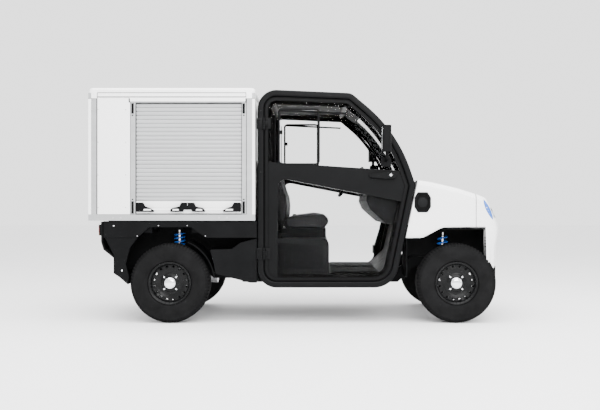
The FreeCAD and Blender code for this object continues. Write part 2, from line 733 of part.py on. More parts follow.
# ---- cargo box ----------------------------------------------------------------------------
box_half = body_half_width + 5.0
guide_rear_x = box_rear_x + post_width + side_panel_width + 9.0
opening_rear_x = guide_rear_x
opening_front_x = box_front_x - post_width


def box_frame():
    """Aluminium posts with the lower and upper rails."""
    pieces = []
    for x in (box_rear_x, box_front_x - post_width):
        for side in (-1, 1):
            y0 = side * box_half
            y1 = side * (box_half - post_depth)
            pieces.append(box(x, x + post_width, min(y0, y1), max(y0, y1), box_floor_z, box_cap_z - 30))
    for z0, z1 in ((box_floor_z, box_floor_z + box_rail_height), (box_cap_z - 34, box_cap_z)):
        outer = box(box_rear_x, box_front_x, -box_half, box_half, z0, z1)
        inner = box(box_rear_x + 40, box_front_x - 40, -box_half + 40, box_half - 40, z0 - 1, z1 + 1)
        pieces.append(outer.cut(inner))
    return fused(pieces)


def box_floor():
    """Load deck between the lower rails."""
    deck = box(box_rear_x + 41, box_front_x - 41, -box_half + 41, box_half - 41, box_floor_z + 8,
               box_floor_z + box_rail_height - 6)
    return deck.cut(box_frame())


def box_panels():
    """Fixed white panels: front, rear and the rear part of each side."""
    low = box_floor_z + box_rail_height + 0.5
    high = box_cap_z - 34.5
    inner_y = box_half - post_depth - 0.5
    rear = box(box_rear_x + 4, box_rear_x + 4 + box_wall, -inner_y, inner_y, low, high)
    front = box(box_front_x - 4 - box_wall, box_front_x - 4, -inner_y, inner_y, low, high)
    side_x0 = box_rear_x + post_width + 4.5
    side = box(side_x0, side_x0 + side_panel_width, -box_half + 3, -box_half + 3 + box_wall, low, high)
    return Part.makeCompound(solids_of([rear, front, both_sides(side)]))


def box_roof():
    """White roof cap with rounded edges."""
    cap = box(box_rear_x, box_front_x, -box_half, box_half, box_cap_z + 0.5, ground_to_box_top)
    upright = [e for e in cap.Edges if abs(e.Vertexes[0].X - e.Vertexes[-1].X) < 1e-6
               and abs(e.Vertexes[0].Y - e.Vertexes[-1].Y) < 1e-6]
    cap = cap.makeFillet(box_corner_radius, upright)
    upper = [e for e in cap.Edges if e.BoundBox.ZMin > ground_to_box_top - 0.01]
    return cap.makeFillet(box_corner_radius * 0.6, upper)


def shutter_guides():
    """Side channels, header and sill of each shutter opening."""
    low = box_floor_z + box_rail_height + 0.5
    outer = -box_half + 4
    inner = -box_half + 42
    pieces = []
    for x0, x1 in ((opening_rear_x, opening_rear_x + guide_width),
                   (opening_front_x - guide_width, opening_front_x - 0.5)):
        pieces.append(box(x0, x1, outer, inner, low, opening_top_z + 1))
    pieces.append(box(opening_rear_x, opening_front_x - 0.5, outer, inner, opening_top_z, box_cap_z - 34.5))
    return both_sides(fused(pieces))


def shutter_housings():
    """Covers of the rolled-up curtains under the roof."""
    x0, x1 = opening_rear_x + 4, opening_front_x - 4
    section = [(-box_half + 48, 1624.0), (-box_half + 190, 1624.0), (-box_half + 190, box_cap_z - 40.0),
               (-box_half + 48, box_cap_z - 40.0)]
    wire = outline([(y, z, 30.0 if i in (0, 1) else 0.0) for i, (y, z) in enumerate(section)],
                   lambda u, v: Vector(x0, u, v))
    return both_sides(Part.Face(wire).extrude(Vector(x1 - x0, 0, 0)))


curtain_x0 = opening_rear_x + guide_width + curtain_gap
curtain_x1 = opening_front_x - guide_width - curtain_gap
curtain_outer_y = box_half - 18.0


def shutter_curtain():
    """Right curtain of slats, as one plain sheet."""
    return box(curtain_x0, curtain_x1, -curtain_outer_y, -curtain_outer_y + curtain_thickness,
               curtain_bottom_z + 0.5, opening_top_z - 5)


def shutter_bar():
    """Right shutter's bottom bar with the lift rod and three handle mouldings."""
    low = shutter_bar_bottom_z
    face = -curtain_outer_y
    bar = box(curtain_x0, curtain_x1, face, face + curtain_thickness + 4, low, curtain_bottom_z)
    lift = rod(Vector(curtain_x0 + 20, face - 20, 904.5), Vector(curtain_x1 - 20, face - 20, 904.5), 6.5)
    pieces = [bar, lift]
    span = curtain_x1 - curtain_x0
    for centre, width in ((curtain_x0 + 73, 142.0), (curtain_x0 + span / 2 - 7, 274.0), (curtain_x1 - 86, 143.0)):
        pieces.append(side_prism(rounded(centre - width / 2, centre + width / 2, 886.0, 961.0, 14.0),
                                 face - 34, face + 1))
    return fused(pieces)


# ---- wheels and knuckles ------------------------------------------------------------------
def tyre(x):
    """Right tyre on the axle at x."""
    cy = -wheel_centre_y
    half = tyre_width / 2
    tread = tread_width / 2
    bead = rim_half_width - 18
    inner = rim_barrel_radius + 6.5
    return revolve_y([(inner, cy - bead, 0.0), (rim_flange_radius + 4, cy - bead - 6, 6.0),
                      (rim_flange_radius + 30, cy - half, 30.0), (tyre_radius - 40, cy - half, 40.0),
                      (tyre_radius - 12, cy - tread, 14.0), (tyre_radius, cy - tread * 0.55, 200.0),
                      (tyre_radius, cy + tread * 0.55, 200.0), (tyre_radius - 12, cy + tread, 14.0),
                      (tyre_radius - 40, cy + half, 40.0), (rim_flange_radius + 30, cy + half, 30.0),
                      (rim_flange_radius + 4, cy + bead + 6, 6.0), (inner, cy + bead, 0.0)], x, tyre_radius)


def rim(x):
    """Right steel rim with vented disc and hub."""
    cy = -wheel_centre_y
    flange = rim_flange_radius
    barrel = rim_barrel_radius
    w = rim_half_width
    face = cy - disc_offset
    bore_radius = stub_radius + bearing_gap
    section = sharp([(barrel - rim_wall, cy - w + 24), (barrel + 4, cy - w + 8), (flange, cy - w),
                     (flange, cy - w + 7), (barrel + 5, cy - w + 14), (barrel + 1, cy - w + 26),
                     (barrel + 1, cy + w - 26), (barrel + 5, cy + w - 14), (flange, cy + w - 7),
                     (flange, cy + w), (barrel + 4, cy + w - 8), (barrel - rim_wall, cy + w - 24),
                     (barrel - rim_wall, face), (119.0, face - 5), (102.0, face + 4),
                     (hub_radius, face + 4), (34.0, face + 14), (34.0, face + 46), (bore_radius, face + 46),
                     (bore_radius, face - 4), (0.0, face - 4), (0.0, face - 36), (30.0, face - 36),
                     (30.0, face - 14), (hub_radius, face - 14), (hub_radius + 14, face - 4), (100.0, face - 4),
                     (118.0, face - 14), (barrel - rim_wall, face - 9)])
    whole = revolve_y(section, x, tyre_radius)
    cutters = []
    for i in range(vent_count):
        angle = 2 * math.pi * (i + 0.5) / vent_count
        place = Vector(x + vent_circle_radius * math.cos(angle), face - 40,
                       tyre_radius + vent_circle_radius * math.sin(angle))
        cutters.append(Part.makeCylinder(vent_radius, 80, place, Vector(0, 1, 0)))
    return whole.cut(cutters)


def knuckle():
    """Right steering knuckle: upright with pins, brake drum and stub axle."""
    x, z = front_axle_x, tyre_radius
    stub_end = wheel_centre_y + disc_offset - 8
    upright = box(x - 26, x + 26, -kingpin_y - 12, -kingpin_y + 22, 248, 387)
    pin = Part.makeCylinder(kingpin_radius, 184, Vector(x, -kingpin_y, 225))
    plate = Part.makeCylinder(105, 22, Vector(x, -kingpin_y - 24, z), Vector(0, -1, 0))
    stub = Part.makeCylinder(stub_radius, stub_end - kingpin_y, Vector(x, -kingpin_y, z), Vector(0, -1, 0))
    arm = box(x - 120, x - 20, -kingpin_y + 2, -kingpin_y + 20, 270, 296)
    return fused([upright, pin, plate, stub, arm])


# ---- build --------------------------------------------------------------------------------
def main():
    """Write every node."""
    save("chassis_frame", chassis_frame())
    save("battery_pack", battery_pack())
    save("drive_unit", drive_unit())
    save("rear_axle", rear_axle())
    save("front_suspension_arms", front_arms())
    save("coil_struts", coil_struts())
    save("wheel_arch_liners", arch_liners())
    save("side_skirts", side_skirts())
    save("rear_fascia", rear_fascia())
    save("tail_lamps", tail_lamps())
    save("side_lockers", side_lockers())

    sides("cab_side_frame", cab_side_frame())
    save("cab_cross_tubes", cab_cross_tubes())
    save("roof_panel", roof_panel())
    save("windscreen", windscreen())
    save("cab_rear_wall", cab_rear_wall())
    save("rear_window", rear_window())
    save("cab_floor", cab_floor())
    save("dashboard", dashboard())
    save("steering_column", steering_column())
    save("seat_box", seat_box())
    save("seat_bases", seat_bases())
    save("seat_cushions", seat_cushions())
    save("seat_backs", seat_backs())

    fenders, nose, hood, lamps = front_body()
    save("front_fenders", fenders)
    save("nose_panel", nose)
    save("hood", hood)
    save("headlamps", lamps)
    save("front_bumper", front_bumper())

    save("box_frame", box_frame())
    save("box_floor", box_floor())
    save("box_panels", box_panels())
    save("box_roof", box_roof())
    save("shutter_guides", shutter_guides())
    save("shutter_housings", shutter_housings())

    frame = door_frame()
    sides("door_frame", fused([frame, door_handle()]))
    sides("door_glass", door_glass(frame))
    sides("door_mirror", door_mirror())
    sides("shutter_curtain", shutter_curtain())
    sides("shutter_bar", shutter_bar())
    save("steering_wheel", steering_wheel())
    sides("knuckle", knuckle())
    for place, x in (("front", front_axle_x), ("rear", rear_axle_x)):
        sides(place + "_tyre", tyre(x))
        sides(place + "_rim", rim(x))


main()
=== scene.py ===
import math

import bmesh
import bpy
from mathutils import Matrix, Vector
from mathutils.bvhtree import BVHTree


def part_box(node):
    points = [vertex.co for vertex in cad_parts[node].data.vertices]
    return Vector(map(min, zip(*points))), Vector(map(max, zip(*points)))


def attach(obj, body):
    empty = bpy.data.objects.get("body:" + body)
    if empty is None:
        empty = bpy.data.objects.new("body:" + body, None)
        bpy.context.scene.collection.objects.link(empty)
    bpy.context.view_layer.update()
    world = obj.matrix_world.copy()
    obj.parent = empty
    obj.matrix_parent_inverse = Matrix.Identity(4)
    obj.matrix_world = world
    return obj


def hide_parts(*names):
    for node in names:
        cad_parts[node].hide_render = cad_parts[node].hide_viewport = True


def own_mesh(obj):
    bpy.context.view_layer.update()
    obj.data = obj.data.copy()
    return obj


# Visible pieces of an electric utility van, built around its fixed frame. Metres, +X forward,
# +Y to the vehicle's left, +Z up. Each piece rides on the body that carries it.

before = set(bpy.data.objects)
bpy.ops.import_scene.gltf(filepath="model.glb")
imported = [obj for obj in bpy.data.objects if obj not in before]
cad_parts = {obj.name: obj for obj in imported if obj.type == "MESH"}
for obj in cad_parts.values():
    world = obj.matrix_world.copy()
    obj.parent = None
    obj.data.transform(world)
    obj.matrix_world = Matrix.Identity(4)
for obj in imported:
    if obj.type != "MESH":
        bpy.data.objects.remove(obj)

bl_info = {
    "name": "Electric utility van",
    "version": (1, 0, 0),
    "blender": (4, 5, 0),
    "location": "3D View > Sidebar > Van",
    "description": "Builds the visible pieces of a small electric van with a shutter-sided cargo box",
    "category": "Add Mesh",
}

SIDES = {"right": -1.0, "left": 1.0}
AXLES = ("front", "rear")


# ---- settings a user may change -----------------------------------------------------------
def length(name, description, default):
    """Size setting in metres."""
    return bpy.props.FloatProperty(name=name, description=description, default=default,
                                   min=0.0, unit="LENGTH", subtype="DISTANCE", precision=4)


def colour(name, description, default):
    """Colour setting."""
    return bpy.props.FloatVectorProperty(name=name, description=description, default=default,
                                         size=4, min=0.0, max=1.0, subtype="COLOR")


class VanSizes(bpy.types.PropertyGroup):
    """Sizes of the small details."""
    edge: length("Edge rounding", "Radius on the edges of moulded and folded pieces", 0.003)
    slat_pitch: length("Slat pitch", "Height of one slat of the shutter curtain", 0.0326)
    wire: length("Spring wire", "Diameter of the coil spring wire", 0.012)
    bolt: length("Bolt head", "Radius of the bolt heads", 0.009)
    panel: length("Panel thickness", "Thickness of the white body panels", 0.005)
    seal: length("Seal", "Width of the rubber seals round the doors", 0.007)


class VanColours(bpy.types.PropertyGroup):
    """Colours of the finishes."""
    white: colour("White paint", "Body panels and box panels", (0.90, 0.90, 0.90, 1.0))
    aluminium: colour("Aluminium", "Box posts, rails and slats", (0.34, 0.345, 0.35, 1.0))
    black: colour("Black paint", "Cab tubes and door frames", (0.0024, 0.0025, 0.0027, 1.0))
    plastic: colour("Black plastic", "Mouldings, skirts and arch liners", (0.0024, 0.0025, 0.0027, 1.0))
    spring: colour("Spring blue", "Coil springs and the strip beside the headlamps", (0.004, 0.09, 0.42, 1.0))
    rubber: colour("Tyre rubber", "Tyres", (0.0085, 0.0085, 0.0088, 1.0))
    vinyl: colour("Seat vinyl", "Seat covers", (0.0045, 0.0045, 0.0048, 1.0))


# ---- materials ----------------------------------------------------------------------------
class Finish:
    """One procedural material on object coordinates."""

    def __init__(self, name, base, metallic=0.0, roughness=0.5, **sockets):
        self.name = name
        self.material = bpy.data.materials.new(name + "_finish")
        self.material.use_nodes = True
        self.nodes = self.material.node_tree.nodes
        self.links = self.material.node_tree.links
        self.shader = self.nodes["Principled BSDF"]
        self.shader.inputs["Base Color"].default_value = tuple(base)[:3] + (1.0,)
        self.shader.inputs["Metallic"].default_value = metallic
        self.shader.inputs["Roughness"].default_value = roughness
        for socket, value in sockets.items():
            self.shader.inputs[socket.replace("_", " ")].default_value = value
        self.coords = self.nodes.new("ShaderNodeTexCoord").outputs["Object"]
        self.normal = None

    def noise(self, scale, detail=2.0, stretch=(1.0, 1.0, 1.0)):
        """Noise over the object, stretched along the axes."""
        mapping = self.nodes.new("ShaderNodeMapping")
        mapping.inputs["Scale"].default_value = stretch
        self.links.new(self.coords, mapping.inputs["Vector"])
        node = self.nodes.new("ShaderNodeTexNoise")
        node.inputs["Scale"].default_value = scale
        node.inputs["Detail"].default_value = detail
        self.links.new(mapping.outputs["Vector"], node.inputs["Vector"])
        return node.outputs["Fac"]

    def spread(self, value, low, high):
        """Spread a pattern between two values."""
        node = self.nodes.new("ShaderNodeMapRange")
        node.inputs["From Min"].default_value = 0.3
        node.inputs["From Max"].default_value = 0.7
        node.inputs["To Min"].default_value = low
        node.inputs["To Max"].default_value = high
        self.links.new(value, node.inputs["Value"])
        return node.outputs["Result"]

    def rough(self, pattern, low, high):
        """Vary the roughness."""
        self.links.new(self.spread(pattern, low, high), self.shader.inputs["Roughness"])
        return self

    def tint(self, pattern, first, second):
        """Vary the colour between two."""
        ramp = self.nodes.new("ShaderNodeValToRGB")
        ramp.color_ramp.elements[0].position = 0.3
        ramp.color_ramp.elements[1].position = 0.7
        ramp.color_ramp.elements[0].color = tuple(first)[:3] + (1.0,)
        ramp.color_ramp.elements[1].color = tuple(second)[:3] + (1.0,)
        self.links.new(pattern, ramp.inputs["Fac"])
        self.links.new(ramp.outputs["Color"], self.shader.inputs["Base Color"])
        return self

    def bump(self, pattern, strength, distance):
        """Raise the surface by a pattern."""
        node = self.nodes.new("ShaderNodeBump")
        node.inputs["Strength"].default_value = strength
        node.inputs["Distance"].default_value = distance
        self.links.new(pattern, node.inputs["Height"])
        if self.normal is not None:
            self.links.new(self.normal, node.inputs["Normal"])
        self.normal = node.outputs["Normal"]
        self.links.new(self.normal, self.shader.inputs["Normal"])
        return self


def shaded(base, factor):
    """A colour made lighter or darker."""
    return tuple(min(1.0, c * factor) for c in tuple(base)[:3])


FINISHES = {}


def make_finishes(c):
    """Every finish, by name; c holds the colour settings."""
    white = Finish("white_paint", c.white, roughness=0.22, Coat_Weight=0.6, Coat_Roughness=0.08)
    white.tint(white.noise(2.0), shaded(c.white, 0.985), c.white)
    white.rough(white.noise(9.0, 4.0), 0.2, 0.28)
    white.bump(white.noise(180.0, 1.0), 0.05, 0.0006)

    panel = Finish("white_sheet", c.white, roughness=0.4)
    panel.tint(panel.noise(1.4), shaded(c.white, 0.97), shaded(c.white, 0.99))
    panel.rough(panel.noise(30.0, 4.0), 0.36, 0.48)
    panel.bump(panel.noise(420.0, 2.0), 0.10, 0.0004)

    aluminium = Finish("anodised_aluminium", c.aluminium, metallic=0.35, roughness=0.42)
    grain = aluminium.noise(60.0, 5.0, (0.15, 1.0, 8.0))
    aluminium.tint(aluminium.noise(6.0, 3.0, (0.3, 1.0, 3.0)), shaded(c.aluminium, 0.93), shaded(c.aluminium, 1.05))
    aluminium.rough(grain, 0.36, 0.5)
    aluminium.bump(grain, 0.06, 0.0003)

    slat = Finish("slat_aluminium", shaded(c.aluminium, 1.05), metallic=0.3, roughness=0.45)
    slat_grain = slat.noise(70.0, 4.0, (0.08, 1.0, 6.0))
    slat.tint(slat.noise(5.0, 3.0, (0.2, 1.0, 4.0)), shaded(c.aluminium, 0.98), shaded(c.aluminium, 1.1))
    slat.rough(slat_grain, 0.4, 0.52)
    slat.bump(slat_grain, 0.05, 0.0003)

    black = Finish("black_powder_coat", c.black, roughness=0.38, Specular_IOR_Level=0.06)
    black.rough(black.noise(14.0, 4.0), 0.34, 0.46)
    black.tint(black.noise(5.0, 3.0), c.black, shaded(c.black, 1.35))
    black.bump(black.noise(520.0, 2.0), 0.12, 0.0004)

    gloss = Finish("gloss_black", c.black, roughness=0.26, Specular_IOR_Level=0.12)
    gloss.rough(gloss.noise(20.0, 4.0), 0.22, 0.32)
    gloss.bump(gloss.noise(160.0, 1.0), 0.05, 0.0005)

    chassis = Finish("chassis_paint", c.black, roughness=0.5, Specular_IOR_Level=0.03)
    chassis.tint(chassis.noise(8.0, 4.0), c.black, shaded(c.black, 1.8))
    chassis.rough(chassis.noise(16.0, 5.0), 0.42, 0.62)
    chassis.bump(chassis.noise(240.0, 3.0), 0.12, 0.0008)

    plastic = Finish("textured_plastic", c.plastic, roughness=0.55, Specular_IOR_Level=0.05)
    plastic.tint(plastic.noise(7.0, 4.0), c.plastic, shaded(c.plastic, 1.5))
    plastic.rough(plastic.noise(24.0, 4.0), 0.5, 0.66)
    plastic.bump(plastic.noise(900.0, 2.0), 0.25, 0.0005)

    trim = Finish("interior_moulding", shaded(c.plastic, 1.7), roughness=0.62, Specular_IOR_Level=0.08)
    trim.tint(trim.noise(5.0, 4.0), shaded(c.plastic, 1.4), shaded(c.plastic, 2.0))
    trim.rough(trim.noise(40.0, 3.0), 0.55, 0.7)
    trim.bump(trim.noise(650.0, 3.0), 0.3, 0.0007)

    rubber = Finish("seal_rubber", shaded(c.rubber, 0.2), roughness=0.7, Specular_IOR_Level=0.06)
    rubber.rough(rubber.noise(60.0, 3.0), 0.62, 0.8)
    rubber.bump(rubber.noise(500.0, 2.0), 0.15, 0.0004)

    tyre = Finish("tyre_rubber", c.rubber, roughness=0.78, Specular_IOR_Level=0.04)
    tyre.tint(tyre.noise(11.0, 5.0), shaded(c.rubber, 0.5), shaded(c.rubber, 0.85))
    tyre.rough(tyre.noise(34.0, 4.0), 0.7, 0.88)
    tyre.bump(tyre.noise(380.0, 3.0), 0.2, 0.0008)

    chrome = Finish("chrome", (0.82, 0.83, 0.85), metallic=1.0, roughness=0.12)
    chrome.rough(chrome.noise(40.0, 3.0), 0.08, 0.18)
    chrome.bump(chrome.noise(90.0, 2.0), 0.03, 0.0003)

    steel = Finish("bare_steel", (0.45, 0.45, 0.46), metallic=0.9, roughness=0.35)
    steel.rough(steel.noise(50.0, 4.0), 0.28, 0.46)
    steel.bump(steel.noise(200.0, 3.0), 0.08, 0.0004)

    blue = Finish("spring_blue", c.spring, roughness=0.3, Coat_Weight=0.4)
    blue.rough(blue.noise(30.0, 3.0), 0.26, 0.4)
    blue.bump(blue.noise(220.0, 2.0), 0.06, 0.0004)

    vinyl = Finish("seat_vinyl", c.vinyl, roughness=0.55, Specular_IOR_Level=0.1)
    vinyl.tint(vinyl.noise(6.0, 4.0), c.vinyl, shaded(c.vinyl, 1.7))
    vinyl.rough(vinyl.noise(20.0, 4.0), 0.48, 0.64)
    vinyl.bump(vinyl.noise(320.0, 5.0), 0.35, 0.0008)

    mat = Finish("ribbed_mat", shaded(c.rubber, 0.5), roughness=0.8, Specular_IOR_Level=0.1)
    mat.bump(mat.noise(300.0, 3.0), 0.3, 0.001)
    mat.rough(mat.noise(18.0, 3.0), 0.72, 0.9)

    battery = Finish("battery_case", (0.02, 0.02, 0.022), roughness=0.55, Specular_IOR_Level=0.2)
    battery.rough(battery.noise(20.0, 3.0), 0.48, 0.64)
    battery.bump(battery.noise(240.0, 3.0), 0.15, 0.0006)

    glass = Finish("clear_glass", (0.975, 0.98, 0.98), roughness=0.015, Transmission_Weight=1.0, IOR=1.05)
    glass.bump(glass.noise(3.0, 1.0), 0.01, 0.0004)
    lens = Finish("lamp_lens", (0.95, 0.97, 1.0), roughness=0.04, Transmission_Weight=0.9, IOR=1.2)
    lens.bump(lens.noise(6.0, 1.0), 0.02, 0.0005)
    red = Finish("red_lens", (0.42, 0.012, 0.012), roughness=0.16, Coat_Weight=0.6)
    red.bump(red.noise(240.0, 1.0, (0.2, 1.0, 1.0)), 0.2, 0.001)
    amber = Finish("amber_lens", (0.72, 0.22, 0.02), roughness=0.16, Coat_Weight=0.6)
    amber.bump(amber.noise(240.0, 1.0), 0.2, 0.001)
    mirror = Finish("mirror_glass", (0.8, 0.82, 0.84), metallic=1.0, roughness=0.02)
    mirror.bump(mirror.noise(2.0, 1.0), 0.01, 0.0003)

    for finish in (white, panel, aluminium, slat, black, gloss, chassis, plastic, trim, rubber, tyre, chrome,
                   steel, blue, vinyl, mat, battery, glass, lens, red, amber, mirror):
        FINISHES[finish.name] = finish.material


# ---- mesh helpers -------------------------------------------------------------------------
def sizes():
    """The size settings."""
    return bpy.context.scene.van_sizes


def add_piece(name, bm, finish, body, replaces=(), smooth=35.0, recalc=True):
    """Turn a bmesh into a finished piece that rides on a body."""
    bmesh.ops.remove_doubles(bm, verts=bm.verts[:], dist=1e-6)
    if recalc:
        bmesh.ops.recalc_face_normals(bm, faces=bm.faces[:])
    mesh = bpy.data.meshes.new(name)
    bm.to_mesh(mesh)
    bm.free()
    names = [finish] if isinstance(finish, str) else list(finish)
    for item in names:
        mesh.materials.append(FINISHES[item])
    piece = bpy.data.objects.new(name, mesh)
    bpy.context.scene.collection.objects.link(piece)
    shade(piece, smooth)
    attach(piece, body)
    if replaces:
        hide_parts(*replaces)
    return piece


def shade(piece, degrees):
    """Smooth shading with edges sharper than an angle kept crisp."""
    mesh = piece.data
    mesh.polygons.foreach_set("use_smooth", [degrees > 0.0] * len(mesh.polygons))
    if degrees > 0.0:
        mesh.set_sharp_from_angle(angle=math.radians(degrees))


def bevel_modifier(piece, width, segments=2, angle=35.0):
    """Rounded edges."""
    modifier = piece.modifiers.new("edges", "BEVEL")
    modifier.width = width
    modifier.segments = segments
    modifier.limit_method = "ANGLE"
    modifier.angle_limit = math.radians(angle)
    modifier.harden_normals = True
    return piece


def node_copy(node):
    """Merged bmesh of a frame node."""
    bm = bmesh.new()
    bm.from_mesh(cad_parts[node].data)
    bmesh.ops.remove_doubles(bm, verts=bm.verts[:], dist=2e-5)
    bmesh.ops.dissolve_limit(bm, angle_limit=math.radians(0.6), verts=bm.verts[:], edges=bm.edges[:])
    return bm


def dress(node, finish, body, width=None, segments=2, smooth=35.0):
    """Frame node with rounded edges and its finish."""
    piece = add_piece(node + "_body", node_copy(node), finish, body, (node,), smooth, recalc=False)
    return bevel_modifier(piece, sizes().edge if width is None else width, segments)


def merge(target, source):
    """Add one bmesh to another."""
    mesh = bpy.data.meshes.new("part")
    source.to_mesh(mesh)
    source.free()
    target.from_mesh(mesh)
    bpy.data.meshes.remove(mesh)
    return target


def flipped(bm):
    """The same bmesh on the vehicle's other side."""
    bmesh.ops.scale(bm, vec=(1.0, -1.0, 1.0), verts=bm.verts[:])
    bmesh.ops.reverse_faces(bm, faces=bm.faces[:])
    return bm


def on_side(bm, side):
    """A right-hand bmesh, turned over for the left side."""
    return flipped(bm) if side > 0 else bm


def twin(make):
    """Right and left copies of one shape in one bmesh."""
    bm = make()
    return merge(bm, flipped(make()))


def inset_corners(corners, distance):
    """Move every side of a closed outline inwards; each corner is (u, v, radius)."""
    lines = []
    count = len(corners)
    for i in range(count):
        start = Vector(corners[i][:2])
        along = (Vector(corners[(i + 1) % count][:2]) - start).normalized()
        lines.append((start + Vector((-along.y, along.x)) * distance, along))
    moved = []
    for i in range(count):
        point, along = lines[i - 1]
        other, following = lines[i]
        cross = along.x * following.y - along.y * following.x
        t = ((other.x - point.x) * following.y - (other.y - point.y) * following.x) / cross
        corner = point + along * t
        radius = corners[i][2]
        turn = 1.0 if cross > 0 else -1.0
        moved.append((corner.x, corner.y, max(radius - turn * distance, 0.004) if radius else 0.0))
    return moved


def rounded_face(corners, place, steps=8):
    """One face with rounded corners; place(u, v) gives a point in space."""
    bm = bmesh.new()
    verts = [bm.verts.new(place(u, v)) for u, v, _ in corners]
    bm.faces.new(verts)
    for vert, (_, _, radius) in zip(verts, corners):
        if radius <= 0.0:
            continue
        arms = [(edge.other_vert(vert).co - vert.co).normalized() for edge in vert.link_edges]
        half = arms[0].angle(arms[1]) / 2.0
        bmesh.ops.bevel(bm, geom=[vert], offset=radius / math.tan(half), offset_type="OFFSET",
                        affect="VERTICES", segments=steps, profile=0.5, material=-1)
    return bm


def solid(corners, place, depth, steps=8, edge=0.0, edge_steps=2):
    """Rounded outline given a depth along a vector, with softened rims."""
    bm = rounded_face(corners, place, steps)
    made = bmesh.ops.extrude_face_region(bm, geom=bm.faces[:])
    moved = [v for v in made["geom"] if isinstance(v, bmesh.types.BMVert)]
    bmesh.ops.translate(bm, vec=depth, verts=moved)
    bmesh.ops.recalc_face_normals(bm, faces=bm.faces[:])
    if edge > 0.0:
        rims = [e for e in bm.edges if len(e.link_faces) == 2 and e.calc_face_angle(0.0) > math.radians(50)]
        bmesh.ops.bevel(bm, geom=rims, offset=edge, offset_type="OFFSET", affect="EDGES",
                        segments=edge_steps, profile=0.5, material=-1)
    return bm


def side_place(y):
    """Points of the side view at one distance from the middle."""
    return lambda u, v: Vector((u, y, v))


def end_place(x):
    """Points of the end view at one station."""
    return lambda u, v: Vector((x, u, v))


def block(low, high, edge=0.0, edge_steps=2):
    """Block between two corners with softened edges."""
    bm = bmesh.new()
    bmesh.ops.create_cube(bm, size=1.0)
    low, high = Vector(low), Vector(high)
    span = high - low
    bmesh.ops.scale(bm, vec=span, verts=bm.verts[:])
    bmesh.ops.translate(bm, vec=(low + high) / 2.0, verts=bm.verts[:])
    if edge > 0.0:
        bmesh.ops.bevel(bm, geom=bm.edges[:], offset=edge, offset_type="OFFSET", affect="EDGES",
                        segments=edge_steps, profile=0.5, material=-1)
    return bm


def turned(profile, centre, axis, steps=32, start=None):
    """Spin a profile of (radius, height) about an axis through centre."""
    bm = bmesh.new()
    axis = Vector(axis).normalized()
    across = axis.orthogonal().normalized() if start is None else Vector(start)
    verts = [bm.verts.new(Vector(centre) + across * r + axis * h) for r, h in profile]
    edges = [bm.edges.new(pair) for pair in zip(verts, verts[1:])]
    bmesh.ops.spin(bm, geom=verts + edges, cent=Vector(centre), axis=axis, angle=2.0 * math.pi,
                   steps=steps, use_merge=True, use_duplicate=False)
    bmesh.ops.remove_doubles(bm, verts=bm.verts[:], dist=1e-6)
    bmesh.ops.recalc_face_normals(bm, faces=bm.faces[:])
    return bm


def bar(start, end, radius, steps=16, edge=0.001):
    """Round bar between two points with softened ends."""
    start, end = Vector(start), Vector(end)
    span = (end - start).length
    edge = min(edge, radius * 0.5)
    return turned([(0.0, 0.0), (radius - edge, 0.0), (radius, edge), (radius, span - edge),
                   (radius - edge, span), (0.0, span)], start, end - start, steps)


def bolt(place, axis, radius=None, finish_height=0.55):
    """Hexagon head on a round washer."""
    radius = sizes().bolt if radius is None else radius
    axis = Vector(axis).normalized()
    washer = turned([(0.0, 0.0), (radius * 1.45, 0.0), (radius * 1.45, radius * 0.12),
                     (radius * 1.2, radius * 0.2), (0.0, radius * 0.2)], place, axis, 20)
    head = turned([(0.0, radius * 0.18), (radius, radius * 0.18), (radius, radius * finish_height),
                   (radius * 0.86, radius * (finish_height + 0.12)), (0.0, radius * (finish_height + 0.12))],
                  place, axis, 6)
    return merge(washer, head)


def button_head(place, axis, radius):
    """Domed screw head."""
    return turned([(0.0, 0.0), (radius, 0.0), (radius * 0.94, radius * 0.3), (radius * 0.6, radius * 0.55),
                   (0.0, radius * 0.62)], place, axis, 16)


def tube_along(points, radius, steps=12, closed=False):
    """Round tube through points: each ring is set across the path and bridged to the last."""
    bm = bmesh.new()
    count = len(points)
    rings = []
    side = None
    for i, point in enumerate(points):
        before = points[i - 1] if (closed or i > 0) else points[i]
        after = points[(i + 1) % count] if (closed or i < count - 1) else points[i]
        along = (Vector(after) - Vector(before)).normalized()
        side = along.orthogonal().normalized() if side is None else (side - along * side.dot(along)).normalized()
        turn = Matrix((side, along.cross(side), along)).transposed().to_4x4()
        made = bmesh.ops.create_circle(bm, segments=steps, radius=radius,
                                       matrix=Matrix.Translation(Vector(point)) @ turn)
        rings.append(made["verts"])
    pairs = list(zip(rings, rings[1:] + ([rings[0]] if closed else [])))
    for first, second in pairs:
        loops = set(first) | set(second)
        edges = [e for e in bm.edges if e.verts[0] in loops and e.verts[1] in loops
                 and ((e.verts[0] in set(first)) == (e.verts[1] in set(first)))]
        bmesh.ops.bridge_loops(bm, edges=edges)
    if not closed:
        for ring in (rings[0], rings[-1]):
            bmesh.ops.contextual_create(bm, geom=ring)
    return bm


def loop_points(corners, place, steps=8):
    """Points of a rounded outline, in order."""
    bm = rounded_face(corners, place, steps)
    points = [v.co.copy() for v in bm.faces[:][0].verts]
    bm.free()
    return points


# ---- wheels -------------------------------------------------------------------------------
TYRE_SECTION = (
    (0.1745, -0.072), (0.1775, -0.0805), (0.186, -0.0865), (0.205, -0.0905), (0.234, -0.0925), (0.262, -0.0912),
    (0.284, -0.0868), (0.288, -0.0872), (0.298, -0.0815), (0.3085, -0.072), (0.3145, -0.0585), (0.3165, -0.050),
    (0.3165, -0.047), (0.3095, -0.0455), (0.3095, -0.0405), (0.3170, -0.039), (0.3172, -0.0165), (0.3100, -0.015),
    (0.3100, -0.009), (0.3174, -0.0075), (0.3174, 0.0))


def wheel_centre(node):
    """Middle of a wheel node and the way its outer face points."""
    low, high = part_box(node)
    middle = (Vector(low) + Vector(high)) / 2.0
    return middle, Vector((0.0, -1.0 if middle.y < 0 else 1.0, 0.0))


